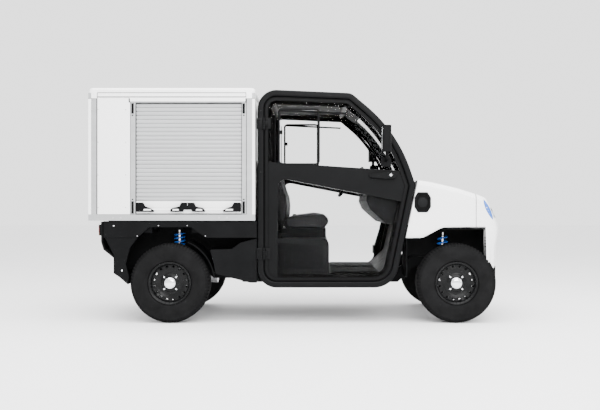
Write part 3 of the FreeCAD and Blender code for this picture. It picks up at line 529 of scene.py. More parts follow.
def tyre_shape(centre, out):
    """Tyre carcass with grooves, shoulder blocks and raised sidewall rings."""
    half = [(r, -t) for r, t in TYRE_SECTION]
    other = [(r, -t) for r, t in reversed(half[:-1])]
    inner = [(0.1745, -0.066), (0.1745, 0.066)]
    profile = [(r, t) for r, t in half] + other + inner + [half[0]]
    bm = turned(profile, centre, out, 144)
    up = out.orthogonal().normalized()
    across = out.cross(up)
    lugs = []
    for face in bm.faces:
        middle = face.calc_center_median() - centre
        along = abs(middle.dot(out))
        radial = (middle - out * middle.dot(out)).length
        if 0.050 < along < 0.0875 and radial > 0.286:
            turn = math.degrees(math.atan2(middle.dot(across), middle.dot(up))) % 5.0
            if turn > 2.5 and face.normal.dot(out) != 0.0:
                lugs.append(face)
    made = bmesh.ops.extrude_face_region(bm, geom=lugs)
    moved = [v for v in made["geom"] if isinstance(v, bmesh.types.BMVert)]
    bmesh.ops.delete(bm, geom=lugs, context="FACES_ONLY")
    for vert in moved:
        offset = vert.co - centre
        radial = offset - out * offset.dot(out)
        vert.co -= radial.normalized() * 0.0045 + out * math.copysign(0.0035, offset.dot(out))
    return bm


def hub_shape(centre, out):
    """Chrome centre cap and four lug bolts on the disc face."""
    face = centre + out * 0.036
    cap = turned([(0.0, 0.010), (0.0470, 0.010), (0.0480, 0.019), (0.0462, 0.0262), (0.0415, 0.0310), (0.0335, 0.0345),
                  (0.0300, 0.0372), (0.0180, 0.0386), (0.0, 0.0390)], face, out, 48)
    up = Vector((0.0, 0.0, 1.0))
    across = out.cross(up)
    for i in range(4):
        turn = math.radians(45.0 + 90.0 * i)
        spot = face + (up * math.cos(turn) + across * math.sin(turn)) * 0.067
        merge(cap, turned([(0.0, 0.0), (0.0125, 0.0), (0.0125, 0.0025), (0.0098, 0.0042), (0.0, 0.0042)],
                          spot, out, 20))
        merge(cap, turned([(0.0, 0.003), (0.0092, 0.003), (0.0092, 0.0125), (0.0066, 0.0152), (0.0, 0.0158)],
                          spot, out, 6))
    return cap


def rim_rings_shape(centre, out):
    """Rolled lip and raised rings on the pressed steel disc."""
    face = centre + out * 0.036
    lip = turned([(0.1485, -0.002), (0.1455, 0.0045), (0.1475, 0.0078), (0.1515, 0.0078), (0.1535, 0.0045), (0.151, -0.002),
                  (0.1485, -0.002)], face, out, 96)
    for radius in (0.103, 0.0765):
        merge(lip, turned([(radius - 0.004, -0.001), (radius - 0.0016, 0.0022), (radius + 0.0016, 0.0022),
                           (radius + 0.004, -0.001), (radius - 0.004, -0.001)], face, out, 72))
    return lip


def valve_shape(centre, out):
    """Tyre valve beside the rolled lip."""
    up = Vector((0.0, 0.0, 1.0))
    foot = centre + out * 0.034 + up * -0.158
    return bar(foot, foot + out * 0.024, 0.0042, 12)


def build_wheels():
    """Tyres, rims, hub caps and lug bolts."""
    for side in SIDES:
        for axle in AXLES:
            body = "wheel_%s_%s" % (axle, side)
            tyre_node = "%s_%s_tyre" % (side, axle)
            rim_node = "%s_%s_rim" % (side, axle)
            centre, out = wheel_centre(tyre_node)
            add_piece(tyre_node + "_rubber", tyre_shape(centre, out), "tyre_rubber", body,
                      (tyre_node,), 28.0)
            add_piece(rim_node + "_disc", node_copy(rim_node), "gloss_black", body, (rim_node,), 32.0,
                      recalc=False)
            add_piece(rim_node + "_rings", rim_rings_shape(centre, out), "gloss_black", body, (), 40.0)
            add_piece(rim_node + "_cap", hub_shape(centre, out), "chrome", body, (), 40.0)
            add_piece(rim_node + "_valve", valve_shape(centre, out), "seal_rubber", body)


# ---- springs and running gear -------------------------------------------------------------
def coil_shape(low, high, radius, wire, turns):
    """Helical spring between two points, ends closed."""
    low, high = Vector(low), Vector(high)
    axis = (high - low).normalized()
    across = axis.orthogonal().normalized()
    bm = bmesh.new()
    made = bmesh.ops.create_circle(bm, cap_ends=True, segments=10, radius=wire / 2.0)
    turn = Matrix((across, axis, across.cross(axis))).transposed().to_4x4()
    bmesh.ops.transform(bm, matrix=Matrix.Translation(low + across * radius) @ turn, verts=made["verts"])
    steps = int(turns * 20)
    geom = bm.faces[:] + bm.edges[:] + bm.verts[:]
    bmesh.ops.spin(bm, geom=geom, cent=low, axis=axis, dvec=(high - low) / steps, angle=math.tau * turns, steps=steps,
                   use_merge=False, use_duplicate=False)
    bmesh.ops.recalc_face_normals(bm, faces=bm.faces[:])
    return bm


def build_running_gear():
    """Arms, axle, drive unit, battery and knuckles."""
    dress("front_suspension_arms", "chassis_paint", "chassis", 0.003)
    dress("rear_axle", "chassis_paint", "chassis", 0.003)
    dress("drive_unit", "bare_steel", "chassis", 0.006)
    dress("battery_pack", "battery_case", "chassis", 0.008)
    for name in SIDES:
        dress(name + "_knuckle", "chassis_paint", "steer_knuckle_" + name, 0.002)


# ---- cargo box ----------------------------------------------------------------------------
CURTAIN = {"rear": -1.299, "front": -0.461, "top": 1.751, "low": 0.9715, "outer": 0.632, "inner": 0.620}


def slat_shape():
    """Right curtain: rounded slats joined edge to edge from the bottom bar to the header."""
    pitch = sizes().slat_pitch
    height = CURTAIN["top"] - CURTAIN["low"]
    count = max(1, round(height / pitch))
    step = height / count
    crown = [(0.0, 0.0), (0.05, 0.0026), (0.2, 0.0052), (0.5, 0.0068), (0.8, 0.0056), (0.93, 0.003), (1.0, 0.0)]
    bm = bmesh.new()
    for i in range(count):
        low = CURTAIN["low"] + i * step + 0.0012
        span = step - 0.0024
        points = [(-CURTAIN["outer"] + 0.0076 - rise, low + part * span) for part, rise in crown]
        points += [(-CURTAIN["inner"] - 0.0005, low + span), (-CURTAIN["inner"] - 0.0005, low)]
        verts = [bm.verts.new((CURTAIN["rear"], y, z)) for y, z in points]
        face = bm.faces.new(verts)
        made = bmesh.ops.extrude_face_region(bm, geom=[face])
        moved = [v for v in made["geom"] if isinstance(v, bmesh.types.BMVert)]
        bmesh.ops.translate(bm, vec=(CURTAIN["front"] - CURTAIN["rear"], 0.0, 0.0), verts=moved)
    backing = block((CURTAIN["rear"] + 0.004, -CURTAIN["inner"] - 0.003, CURTAIN["low"]),
                    (CURTAIN["front"] - 0.004, -CURTAIN["inner"], CURTAIN["top"]))
    return merge(bm, backing)


def end_turned(bm, kind):
    """A rear handle piece moved to the front end for that kind."""
    if kind == "front":
        middle = (CURTAIN["rear"] + CURTAIN["front"]) / 2.0
        bmesh.ops.translate(bm, vec=(-middle, 0.0, 0.0), verts=bm.verts[:])
        bmesh.ops.scale(bm, vec=(-1.0, 1.0, 1.0), verts=bm.verts[:])
        bmesh.ops.translate(bm, vec=(middle, 0.0, 0.0), verts=bm.verts[:])
    return bm


def handle_shape(kind):
    """One black handle moulding on the right bottom bar: rear, middle or front."""
    if kind == "middle":
        x0, x1 = -1.024, -0.750
        left = [(x0 + 0.106, 0.902, 0.006), (x0 + 0.098, 0.886, 0.005), (x0, 0.886, 0.006), (x0, 0.905, 0.006),
                (x0 + 0.020, 0.918, 0.010), (x0 + 0.074, 0.930, 0.010), (x0 + 0.085, 0.960, 0.010)]
        right = [(x0 + x1 - x, z, r) for x, z, r in left]
        corners = list(left) + list(reversed(right))
    else:
        x0 = -1.297
        corners = [(x0, 0.886, 0.008), (x0 + 0.142, 0.886, 0.006), (x0 + 0.142, 0.900, 0.006),
                   (x0 + 0.115, 0.914, 0.010), (x0 + 0.072, 0.930, 0.010),
                   (x0 + 0.055, 0.961, 0.010), (x0, 0.961, 0.010)]
    return end_turned(solid(corners, side_place(-0.6335), Vector((0.0, -0.029, 0.0)), 5, 0.0035), kind)


def handle_slot(kind):
    """Pale lift rod showing in the slots of one handle."""
    if kind == "middle":
        x0, x1 = -1.024, -0.750
        spans = ((x0 + 0.018, x0 + 0.070), (x1 - 0.070, x1 - 0.018))
    else:
        spans = ((-1.236, -1.174),)
    bm = bmesh.new()
    for low, high in spans:
        merge(bm, solid([(low, 0.8975, 0.002), (high, 0.8975, 0.002), (high - 0.006, 0.9085, 0.002),
                         (low + 0.004, 0.9085, 0.002)], side_place(-0.6622), Vector((0.0, -0.0010, 0.0)), 3, 0.0004, 1))
    return end_turned(bm, kind)


def bar_shape():
    """White bottom bar of the right shutter."""
    profile = [(-0.6335, 0.8725, 0.002), (-0.616, 0.8725, 0.002), (-0.616, 0.9705, 0.002), (-0.630, 0.9705, 0.003),
               (-0.6335, 0.9640, 0.003)]
    bar_bm = solid(profile, end_place(CURTAIN["rear"]), Vector((CURTAIN["front"] - CURTAIN["rear"], 0, 0)), 3)
    groove = block((CURTAIN["rear"], -0.6346, 0.9225), (CURTAIN["front"], -0.6330, 0.9255), 0.0006, 1)
    return merge(bar_bm, groove)


def build_shutters():
    """Slatted curtains with bottom bars, lift rods and handles."""
    for name, side in SIDES.items():
        body = "shutter_" + name
        curtain = add_piece(name + "_slats", on_side(slat_shape(), side), "slat_aluminium", "chassis",
                            (name + "_shutter_curtain",), 40.0)
        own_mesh(curtain)
        add_piece(name + "_bottom_bar", on_side(bar_shape(), side), "white_paint", body,
                  (name + "_shutter_bar",), 40.0)
        rod_bm = bar((-1.279, -0.652, 0.9045), (-0.481, -0.652, 0.9045), 0.0065, 20)
        add_piece(name + "_lift_rod", on_side(rod_bm, side), "white_paint", body, ())
        handles = handle_shape("middle")
        merge(handles, handle_shape("rear"))
        merge(handles, handle_shape("front"))
        add_piece(name + "_shutter_handles", on_side(handles, side), "textured_plastic", body, ())
        slots = merge(merge(handle_slot("middle"), handle_slot("rear")), handle_slot("front"))
        add_piece(name + "_handle_slots", on_side(slots, side), "white_paint", body, ())
        lock = block((-0.8885, -0.6632, 0.936), (-0.8855, -0.6622, 0.954), 0.0004, 1)
        add_piece(name + "_shutter_lock", on_side(lock, side), "chrome", body)


def header_shape():
    """White header strip and its grey lip over the right opening."""
    face = [(-0.6495, 1.765, 0.003), (-0.620, 1.762, 0.002), (-0.620, 1.800, 0.002), (-0.6495, 1.800, 0.006)]
    return solid(face, end_place(-1.353), Vector((0.932, 0.0, 0.0)), 4)


def post_trim(x0, x1):
    """Ribbed outer strip down one corner post on the right side."""
    return block((x0, -0.6512, 0.866), (x1, -0.6470, 1.786), 0.0008, 1)


def corner_block(x, direction):
    """White moulded corner of the roof cap at the right side, rounded outside."""
    bm = block((min(x, x + direction * 0.070), -0.6520, 1.789), (max(x, x + direction * 0.070), -0.560, 1.8746))
    outer = []
    for edge in bm.edges:
        middle = (edge.verts[0].co + edge.verts[1].co) / 2.0
        flags = (abs(middle.x - x) < 1e-4, middle.y < -0.6490, middle.z > 1.874)
        if sum(flags) == 2:
            outer.append(edge)
    bmesh.ops.bevel(bm, geom=outer, offset=0.036, offset_type="OFFSET", affect="EDGES", segments=6, profile=0.5,
                    material=-1)
    return bm


def set_back(piece, rear, front):
    """Bring the ends of a piece in to two X stations."""
    bm = bmesh.new()
    bm.from_mesh(piece.data)
    for vert in bm.verts:
        vert.co.x = min(max(vert.co.x, rear), front)
    bm.to_mesh(piece.data)
    bm.free()


def build_box():
    """Frame, panels, roof cap and hardware of the cargo box."""
    frame_piece = dress("box_frame", "anodised_aluminium", "chassis", 0.003)
    set_back(frame_piece, -1.6782, -0.3508)
    dress("box_panels", "white_sheet", "chassis", 0.0015)
    set_back(dress("box_roof", "white_paint", "chassis", 0.002), -1.6782, -0.3508)
    dress("box_floor", "anodised_aluminium", "chassis", 0.002)
    dress("shutter_guides", "anodised_aluminium", "chassis", 0.002)
    dress("shutter_housings", "white_sheet", "chassis", 0.003)

    corners = twin(lambda: merge(corner_block(-1.679, 1.0), corner_block(-0.350, -1.0)))
    add_piece("box_corner_blocks", corners, "white_paint", "chassis", ())

    rail = twin(lambda: block((-1.602, -0.6512, 1.8035), (-0.427, -0.640, 1.8315), 0.0015, 1))
    add_piece("box_top_rail_cover", rail, "white_paint", "chassis", ())
    add_piece("shutter_headers", twin(header_shape), "white_paint", "chassis", ())
    lip = twin(lambda: block((-1.349, -0.6485, 1.7585), (-0.425, -0.634, 1.7625), 0.001, 1))
    add_piece("header_lips", lip, "anodised_aluminium", "chassis", ())

    def clips():
        bm = block((-1.3568, -0.6498, 1.757), (-1.345, -0.632, 1.7905), 0.002)
        merge(bm, block((-0.429, -0.6498, 1.757), (-0.4172, -0.632, 1.7905), 0.002))
        for x in (-1.326, -0.441):
            merge(bm, block((x - 0.010, -0.6482, 1.668), (x + 0.010, -0.6405, 1.751), 0.002))
            merge(bm, block((x - 0.010, -0.6482, 0.872), (x + 0.010, -0.6405, 0.971), 0.002))
            for z in (1.655, 0.985):
                merge(bm, block((x - 0.006, -0.6482, z - 0.005), (x + 0.006, -0.6405, z + 0.005), 0.0015))
        return bm
    add_piece("shutter_guide_stops", twin(clips), "textured_plastic", "chassis", ())

    def strips():
        return merge(post_trim(-1.6775, -1.6555), post_trim(-0.3735, -0.3515))
    add_piece("post_strips", twin(strips), "white_paint", "chassis", ())

    def brush():
        bm = block((-1.2985, -0.6345, 1.7515), (-0.4615, -0.6195, 1.7560), 0.001, 1)
        for x in (-1.3035, -0.4565):
            merge(bm, block((x - 0.0035, -0.6365, 0.874), (x + 0.0035, -0.6185, 1.7510), 0.001, 1))
        return bm
    add_piece("guide_brushes", twin(brush), "seal_rubber", "chassis")

    def fixings():
        bm = bmesh.new()
        for x in (-1.482, -1.421, -0.639, -0.576):
            merge(bm, bolt((x, -0.650, 0.838), (0.0, -1.0, 0.0), 0.0060))
        for x in (-1.652, -0.378):
            for z in (0.905, 1.30, 1.70):
                merge(bm, button_head((x, -0.650, z), (0.0, -1.0, 0.0), 0.0055))
        for x in (-1.60, -1.38):
            for z in (0.92, 1.18, 1.44, 1.70):
                merge(bm, button_head((x, -0.6470, z), (0.0, -1.0, 0.0), 0.0042))
        return bm
    add_piece("box_fixings", twin(fixings), "bare_steel", "chassis")

    # Dark seam strips round the top rail and the corner posts, plus one dark strip that is a painted shadow line where
    # the panels meet the bottom rail.
    def seams_and_shadow_line():
        bm = block((-1.607, -0.6516, 1.8318), (-0.422, -0.646, 1.8358), 0.0004, 1)
        merge(bm, block((-1.607, -0.6516, 1.7985), (-0.422, -0.646, 1.8025), 0.0004, 1))
        # Painted shadow line: a dark strip laid along the gap where the panels meet the bottom rail.
        merge(bm, block((-1.607, -0.6488, 0.8640), (-0.422, -0.646, 0.8668), 0.0004, 1))
        for x in (-1.6100, -0.4190):
            merge(bm, block((x - 0.0014, -0.6516, 0.868), (x + 0.0014, -0.646, 1.7985), 0.0004, 1))
        for low, high in ((-1.6785, -1.6090), (-0.4200, -0.3505)):
            merge(bm, block((low, -0.6516, 1.7866), (high, -0.646, 1.7892), 0.0004, 1))
        return bm
    add_piece("box_seams_and_painted_shadow", twin(seams_and_shadow_line), "seal_rubber", "chassis")

    ribs = bmesh.new()
    for i in range(9):
        y = -0.56 + i * 0.14
        merge(ribs, block((-1.60, y - 0.012, 0.8585), (-0.43, y + 0.012, 0.8615), 0.001, 1))
    add_piece("load_deck_ribs", ribs, "anodised_aluminium", "chassis")

    back = block((-1.6775, -0.545, 0.90), (-1.6745, 0.545, 1.765), 0.0012, 1)
    merge(back, block((-0.3545, -0.545, 0.90), (-0.3515, 0.545, 1.765), 0.0012, 1))
    add_piece("end_panel_fields", back, "white_sheet", "chassis", ())
    rear_screws = bmesh.new()
    for y in (-0.585, -0.2, 0.2, 0.585):
        for z in (0.89, 1.33, 1.775):
            merge(rear_screws, button_head((-1.675, y, z), (-1.0, 0.0, 0.0), 0.0048))
    add_piece("rear_panel_screws", rear_screws, "bare_steel", "chassis")


# ---- lower body ---------------------------------------------------------------------------
def build_lower_body():
    """Chassis rails, skirts, rear fascia, lockers, liners, lamps and rear fixings."""
    dress("chassis_frame", "chassis_paint", "chassis", 0.003)
    dress("side_skirts", "textured_plastic", "chassis", 0.003)
    dress("rear_fascia", "textured_plastic", "chassis", 0.004)
    dress("side_lockers", "textured_plastic", "chassis", 0.005)
    dress("wheel_arch_liners", "textured_plastic", "chassis", 0.002)
    dress("front_bumper", "textured_plastic", "chassis", 0.008, 3)
    dress("tail_lamps", "textured_plastic", "chassis", 0.003, 3)
    reds = twin(lambda: solid([(-0.632, 0.720, 0.008), (-0.560, 0.720, 0.008), (-0.560, 0.782, 0.008),
                               (-0.632, 0.782, 0.008)], end_place(-1.5968), Vector((-0.0035, 0.0, 0.0)), 4, 0.001))
    add_piece("tail_lamp_lenses", reds, "red_lens", "chassis", ())

    def arch_fixings():
        bm = bmesh.new()
        for x, z in ((-1.290, 0.694), (-0.748, 0.694), (-1.122, 0.776), (-0.892, 0.776)):
            merge(bm, button_head((x, -0.6402, z), (0.0, -1.0, 0.0), 0.0040))
        return bm
    add_piece("skirt_fixings", twin(arch_fixings), "bare_steel", "chassis")

    def rear_fixings():
        bm = button_head((-1.412, -0.6402, 0.418), (0.0, -1.0, 0.0), 0.0065)
        merge(bm, button_head((-1.478, -0.6402, 0.775), (0.0, -1.0, 0.0), 0.0055))
        return bm
    add_piece("fascia_fixings", twin(rear_fixings), "chrome", "chassis")

    def lip():
        points = []
        for i in range(15):
            turn = math.radians(8.0 + i * 3.5)
            points.append(Vector((-1.031 + 0.356 * math.cos(turn), -0.628, 0.3175 + 0.356 * math.sin(turn))))
        return tube_along(points, 0.005, 8)
    add_piece("mudguard_lips", twin(lip), "seal_rubber", "chassis")

    splash = twin(lambda: solid([(-1.500, 0.400, 0.02), (-0.800, 0.400, 0.02), (-0.720, 0.330, 0.02),
                                 (-0.346, 0.330, 0.02), (-0.346, 0.790, 0.01), (-1.500, 0.790, 0.02)],
                                side_place(-0.316), Vector((0.0, 0.006, 0.0)), 4, 0.001, 1))
    add_piece("splash_panels", splash, "textured_plastic", "chassis", ())
    plate = solid([(-0.17, 0.690, 0.012), (0.17, 0.690, 0.012), (0.17, 0.785, 0.012), (-0.17, 0.785, 0.012)],
                  end_place(-1.5815), Vector((-0.003, 0.0, 0.0)), 4, 0.0006, 1)
    add_piece("blank_rear_plate", plate, "white_sheet", "chassis")
    lamps = twin(lambda: solid([(-0.632, 0.700, 0.01), (-0.560, 0.700, 0.01), (-0.560, 0.716, 0.006),
                                (-0.632, 0.716, 0.01)], end_place(-1.5965), Vector((-0.0035, 0.0, 0.0)), 4, 0.001))
    add_piece("tail_lamp_indicators", lamps, "amber_lens", "chassis")
    reflectors = twin(lambda: solid([(-0.500, 0.715, 0.006), (-0.440, 0.715, 0.006), (-0.440, 0.737, 0.006),
                                     (-0.500, 0.737, 0.006)], end_place(-1.5795), Vector((-0.005, 0.0, 0.0)), 4, 0.001))
    add_piece("rear_reflectors", reflectors, "red_lens", "chassis")


# ---- front body ---------------------------------------------------------------------------
PROFILE = ((0.78, 1.150), (0.942, 1.1415), (1.039, 1.128), (1.258, 1.078), (1.42, 1.027), (1.489, 0.999),
           (1.56, 0.962), (1.62, 0.922), (1.679, 0.872))
def skin_top(x):
    """Height of the upper surface at a station."""
    for (x0, z0), (x1, z1) in zip(PROFILE, PROFILE[1:]):
        if x <= x1 or x1 == PROFILE[-1][0]:
            return z0 + (z1 - z0) * (x - x0) / (x1 - x0)
    return PROFILE[-1][1]


def eased(value, low, high):
    """Smooth step between two stations."""
    part = min(max((value - low) / (high - low), 0.0), 1.0)
    return part * part * (3.0 - 2.0 * part)


def plan_edge():
    """Right half of the plan outline, from the cowl round the nose to the middle."""
    corners = [(0.848, -0.6445, 0.0), (1.574, -0.6445, 0.115), (1.6785, -0.25, 0.42), (1.6785, 0.0, 0.0)]
    points = []
    for start, end in ((0.848, 1.125), (1.125, 1.40)):
        for i in range(10):
            points.append(Vector((start + (end - start) * i / 10.0, -0.6445)))
    bm = bmesh.new()
    chain = [bm.verts.new((u, v, 0.0)) for u, v, _ in corners]
    anchor = bm.verts.new((0.848, 0.0, 0.0))
    bm.faces.new(chain + [anchor])
    for vert, (_, _, radius) in zip(chain, corners):
        if radius > 0.0:
            arms = [(edge.other_vert(vert).co - vert.co).normalized() for edge in vert.link_edges]
            half = arms[0].angle(arms[1]) / 2.0
            bmesh.ops.bevel(bm, geom=[vert], offset=radius / math.tan(half), offset_type="OFFSET",
                            affect="VERTICES", segments=14, profile=0.5, material=-1)
    ring = [Vector(v.co[:2]) for v in bm.faces[:][0].verts]
    bm.free()
    if ring[0].x > ring[-1].x and abs(ring[0].y) < 1e-6:
        ring.reverse()
    front = [p for p in ring if p.x > 1.3999 and abs(p.y) < 0.6446]
    front.sort(key=lambda p: (p.y, p.x) if p.y > -0.6440 else (-1.0, p.x))
    straight = [Vector((1.40 + (front[0].x - 1.40) * i / 6.0, -0.6445)) for i in range(6)]
    filled = points + straight + front
    dense = [filled[0]]
    for point in filled[1:]:
        gap = (point - dense[-1]).length
        parts = max(1, int(gap / 0.03))
        start = dense[-1].copy()
        for i in range(parts):
            dense.append(start + (point - start) * (i + 1) / parts)
    return dense


def skin_low(x, corner):
    """Lower edge of the side wall at a station."""
    edge = ((0.848, 0.6785), (0.982, 0.6795), (1.141, 0.763), (1.4935, 0.767))
    if corner or x > 1.497:
        return 0.4335
    for (x0, z0), (x1, z1) in zip(edge, edge[1:]):
        if x <= x1:
            return z0 + (z1 - z0) * (x - x0) / (x1 - x0)
    return edge[-1][1]


def skin_shape():
    """Whole white front skin, right half: a grid whose rows run from the lower edge to the middle."""
    edge = plan_edge()
    walls, rounds, spans = 12, 8, 10
    rows = walls + rounds + spans
    bm = bmesh.new()
    bmesh.ops.create_grid(bm, x_segments=len(edge) - 1, y_segments=rows, size=1.0)
    grid = sorted(bm.verts, key=lambda v: (round(v.co.x, 5), v.co.y))
    per = rows + 1
    count = len(edge)
    for i in range(count):
        before = edge[max(i - 1, 0)]
        after = edge[min(i + 1, count - 1)]
        along = (after - before).normalized()
        inward = Vector((-along.y, along.x))
        if i == count - 1:
            inward = Vector((-1.0, 0.0))
        point = edge[i]
        nose = eased(point.x, 1.46, 1.60)
        reach = 0.040 + (0.150 - 0.040) * nose
        for row in range(per):
            theta = 0.0
            if row > walls:
                theta = math.radians(90.0 * min(row - walls, rounds) / rounds)
            spot = point + inward * reach * (1.0 - math.cos(theta))
            z_top = skin_top(spot.x)
            drop = 0.040 + (z_top - 0.735 - 0.040) * nose
            z = z_top - drop * (1.0 - math.sin(theta))
            if row < walls:
                low = skin_low(point.x, point.y > -0.6440)
                z = low + (z - low) * row / walls
                tuck = eased(0.76 - z, 0.0, 0.20) * 0.024 + max(0.0, 0.56 - z) * 0.03
                spot = point + inward * tuck * eased(point.x, 1.5, 1.56)
            if row > walls + rounds:
                part = (row - walls - rounds) / spans
                inner = Vector((min(spot.x, 1.52 + (spot.x - 1.52) * 0.2) if spot.x > 1.52 else spot.x, 0.0))
                if i == count - 1:
                    inner = Vector((1.52, 0.0))
                spot = spot + (inner - spot) * part
                z = skin_top(spot.x)
            grid[i * per + row].co = Vector((min(spot.x, 1.6785), min(spot.y, 0.0), z))
    return bm


def cut(bm, point, normal, keep=True):
    """Bisect by a plane; with keep, drop what lies in front of it."""
    bmesh.ops.bisect_plane(bm, geom=bm.verts[:] + bm.edges[:] + bm.faces[:], dist=1e-6, plane_co=point,
                           plane_no=normal, clear_outer=keep)


def hood_planes(gap):
    """Side plane of the hood opening on the right, and its front plane."""
    start, end = Vector((0.962, -0.430)), Vector((1.500, -0.340))
    along = (end - start).normalized()
    out = Vector((along.y, -along.x))
    return Vector((start.x, start.y, 1.0)) + Vector((out.x, out.y, 0.0)) * gap, Vector((out.x, out.y, 0.0))


def in_hood(point, side_point, side_normal, front):
    """Whether a point of the skin lies in the hood opening."""
    return (point - side_point).dot(side_normal) < 0 and point.x < front and point.z > 0.90


def hood_shape():
    """Right half of the hood skin."""
    bm = skin_shape()
    side_point, side_normal = hood_planes(-0.0035)
    cut(bm, side_point, side_normal)
    cut(bm, Vector((1.4965, 0.0, 1.0)), Vector((1.0, 0.0, 0.0)))
    cut(bm, Vector((0.9655, 0.0, 1.0)), Vector((-1.0, 0.0, 0.0)))
    return bm


def around_hood(bm):
    """Remove the hood opening from a skin."""
    side_point, side_normal = hood_planes(0.0025)
    cut(bm, side_point, side_normal, False)
    cut(bm, Vector((1.5035, 0.0, 1.0)), Vector((1.0, 0.0, 0.0)), False)
    gone = [f for f in bm.faces if in_hood(f.calc_center_median(), side_point, side_normal, 1.5035)]
    bmesh.ops.delete(bm, geom=gone, context="FACES")
    return bm


def fender_shape():
    """Right half of the fender and cowl skin."""
    bm = around_hood(skin_shape())
    cut(bm, Vector((1.4075, 0.0, 1.0)), Vector((1.0, 0.0, 0.0)))
    cut(bm, Vector((0.850, 0.0, 1.0)), Vector((-1.0, 0.0, 0.0)))
    cut(bm, Vector((0.9375, 0.0, 1.098)), Vector((-1.0, 0.0, 0.208)).normalized())
    return bm


def nose_shape():
    """Right half of the nose skin."""
    bm = around_hood(skin_shape())
    cut(bm, Vector((1.4125, 0.0, 1.0)), Vector((-1.0, 0.0, 0.0)))
    return bm


def skin_piece(name, make, node, body):
    """Both halves of a skin, joined at the middle and given a thickness inwards."""
    bm = make()
    merge(bm, flipped(make()))
    bmesh.ops.remove_doubles(bm, verts=bm.verts[:], dist=2e-4)
    bmesh.ops.recalc_face_normals(bm, faces=bm.faces[:])
    outward = sum((f.normal.z * f.calc_area() for f in bm.faces), 0.0)
    if outward < 0.0:
        bmesh.ops.reverse_faces(bm, faces=bm.faces[:])
    piece = add_piece(name, bm, "white_paint", body, (node,), 40.0, recalc=False)
    wall = piece.modifiers.new("thickness", "SOLIDIFY")
    wall.thickness = sizes().panel
    wall.offset = -1.0
    wall.use_even_offset = False
    return piece


def skin_point(x, z):
    """Point on the outside of the right skin wall or its shoulder, from the side view."""
    y = -0.6445
    if x > 1.574 - 0.115:
        y = min(plan_edge(), key=lambda p: abs(p.x - x) + (10.0 if p.x < 1.4 else 0.0)).y
    top = skin_top(x)
    rise = max(0.0, z - (top - 0.040)) / 0.040
    inset = 0.040 * (1.0 - math.sqrt(max(0.0, 1.0 - min(rise, 1.0) ** 2)))
    return Vector((x, y + inset, z))


def crescent_shape():
    """Blue strip beside the right headlamp, tapered at both ends."""
    bm = bmesh.new()
    steps = 14
    low_row, high_row = [], []
    for i in range(steps + 1):
        t = i / steps
        x = 1.469 + (1.547 - 1.469) * (t ** 1.12)
        z = 0.985 + (0.824 - 0.985) * t
        half = 0.0006 + 0.0160 * math.sin(math.pi * min(max(t, 0.0), 1.0)) ** 0.8
        across = Vector((0.88, 0.0, 0.47))
        for row, sign in ((low_row, -1.0), (high_row, 1.0)):
            spot = Vector((x, 0.0, z)) + across * half * sign
            on_skin = skin_point(spot.x, spot.z)
            row.append(bm.verts.new(on_skin + Vector((0.0004, -0.0004, 0.0))))
    for a, b, c, d in zip(low_row, low_row[1:], high_row[1:], high_row):
        bm.faces.new((a, b, c, d))
    return bm


def port_outline(inset):
    """Tall octagon of the fender port."""
    corners = [(0.917, 0.926, 0.012), (0.944, 0.882, 0.012), (1.022, 0.882, 0.012), (1.049, 0.926, 0.012),
               (1.049, 1.000, 0.012), (1.022, 1.043, 0.012), (0.944, 1.043, 0.012), (0.917, 1.000, 0.012)]
    return inset_corners(corners, inset) if inset > 0.0 else corners


def port_rim_shape():
    """Raised octagonal rim of the right port, rolled over to an inner well."""
    bm = bmesh.new()
    levels = ((0.0, -0.6440), (0.0, -0.6500), (0.0035, -0.6535), (0.012, -0.6545), (0.0165, -0.6530), (0.0185, -0.6452),
              (0.0185, -0.6440))
    rings = [rounded_face(port_outline(inset), side_place(y), 4) for inset, y in levels]
    for ring in rings:
        bmesh.ops.delete(ring, geom=ring.faces[:], context="FACES_ONLY")
        merge(bm, ring)
    for first in range(len(levels) - 1):
        bm.verts.ensure_lookup_table()
        count = len(bm.verts) // len(levels)
        chosen = set(bm.verts[first * count:(first + 2) * count])
        edges = [e for e in bm.edges if e.verts[0] in chosen and e.verts[1] in chosen
                 and abs(e.verts[0].co.y - e.verts[1].co.y) < 1e-7]
        bmesh.ops.bridge_loops(bm, edges=edges)
    bridge_ends(bm)
    bmesh.ops.recalc_face_normals(bm, faces=bm.faces[:])
    return bm


def bridge_ends(bm):
    """Close the two open rings that are left."""
    edges = [e for e in bm.edges if e.is_boundary]
    if edges:
        bmesh.ops.bridge_loops(bm, edges=edges)


def port_disc_shape():
    """Round plug in the well of the right port."""
    centre = Vector((0.983, -0.6462, 0.963))
    disc = turned([(0.0, 0.0), (0.0405, 0.0), (0.0405, 0.0022), (0.0385, 0.0036), (0.034, 0.0026), (0.031, 0.0042),
                   (0.0, 0.0046)], centre, (0.0, -1.0, 0.0), 40)
    return disc


def port_well_shape():
    """Dark floor of the well in the right port."""
    return solid(port_outline(0.017), side_place(-0.6440), Vector((0.0, -0.0020, 0.0)), 4)


def on_nose(tree, point, inward, z):
    """Hit on the nose skin from outside at one height, with the skin's outward normal."""
    outward = Vector((-inward.x, -inward.y, 0.0))
    spot, normal, _, _ = tree.ray_cast(Vector((point.x, point.y, z)) + outward * 0.10, -outward)
    if spot is None:
        raise ValueError("lamp outline leaves the nose skin")
    return spot, (normal if normal.dot(outward) > 0.0 else -normal)


def nose_tree():
    """Search tree of the right nose skin."""
    skin = nose_shape()
    tree = BVHTree.FromBMesh(skin)
    skin.free()
    return tree


def lamp_edge(first, last):
    """Plan points of the right nose corner with their inward directions."""
    edge = [p for p in plan_edge() if p.x > 1.548 and first < -p.y < last and p.y > -0.6440]
    found = []
    for i, point in enumerate(edge):
        along = (edge[min(i + 1, len(edge) - 1)] - edge[max(i - 1, 0)]).normalized()
        found.append((point, Vector((-along.y, along.x))))
    return found


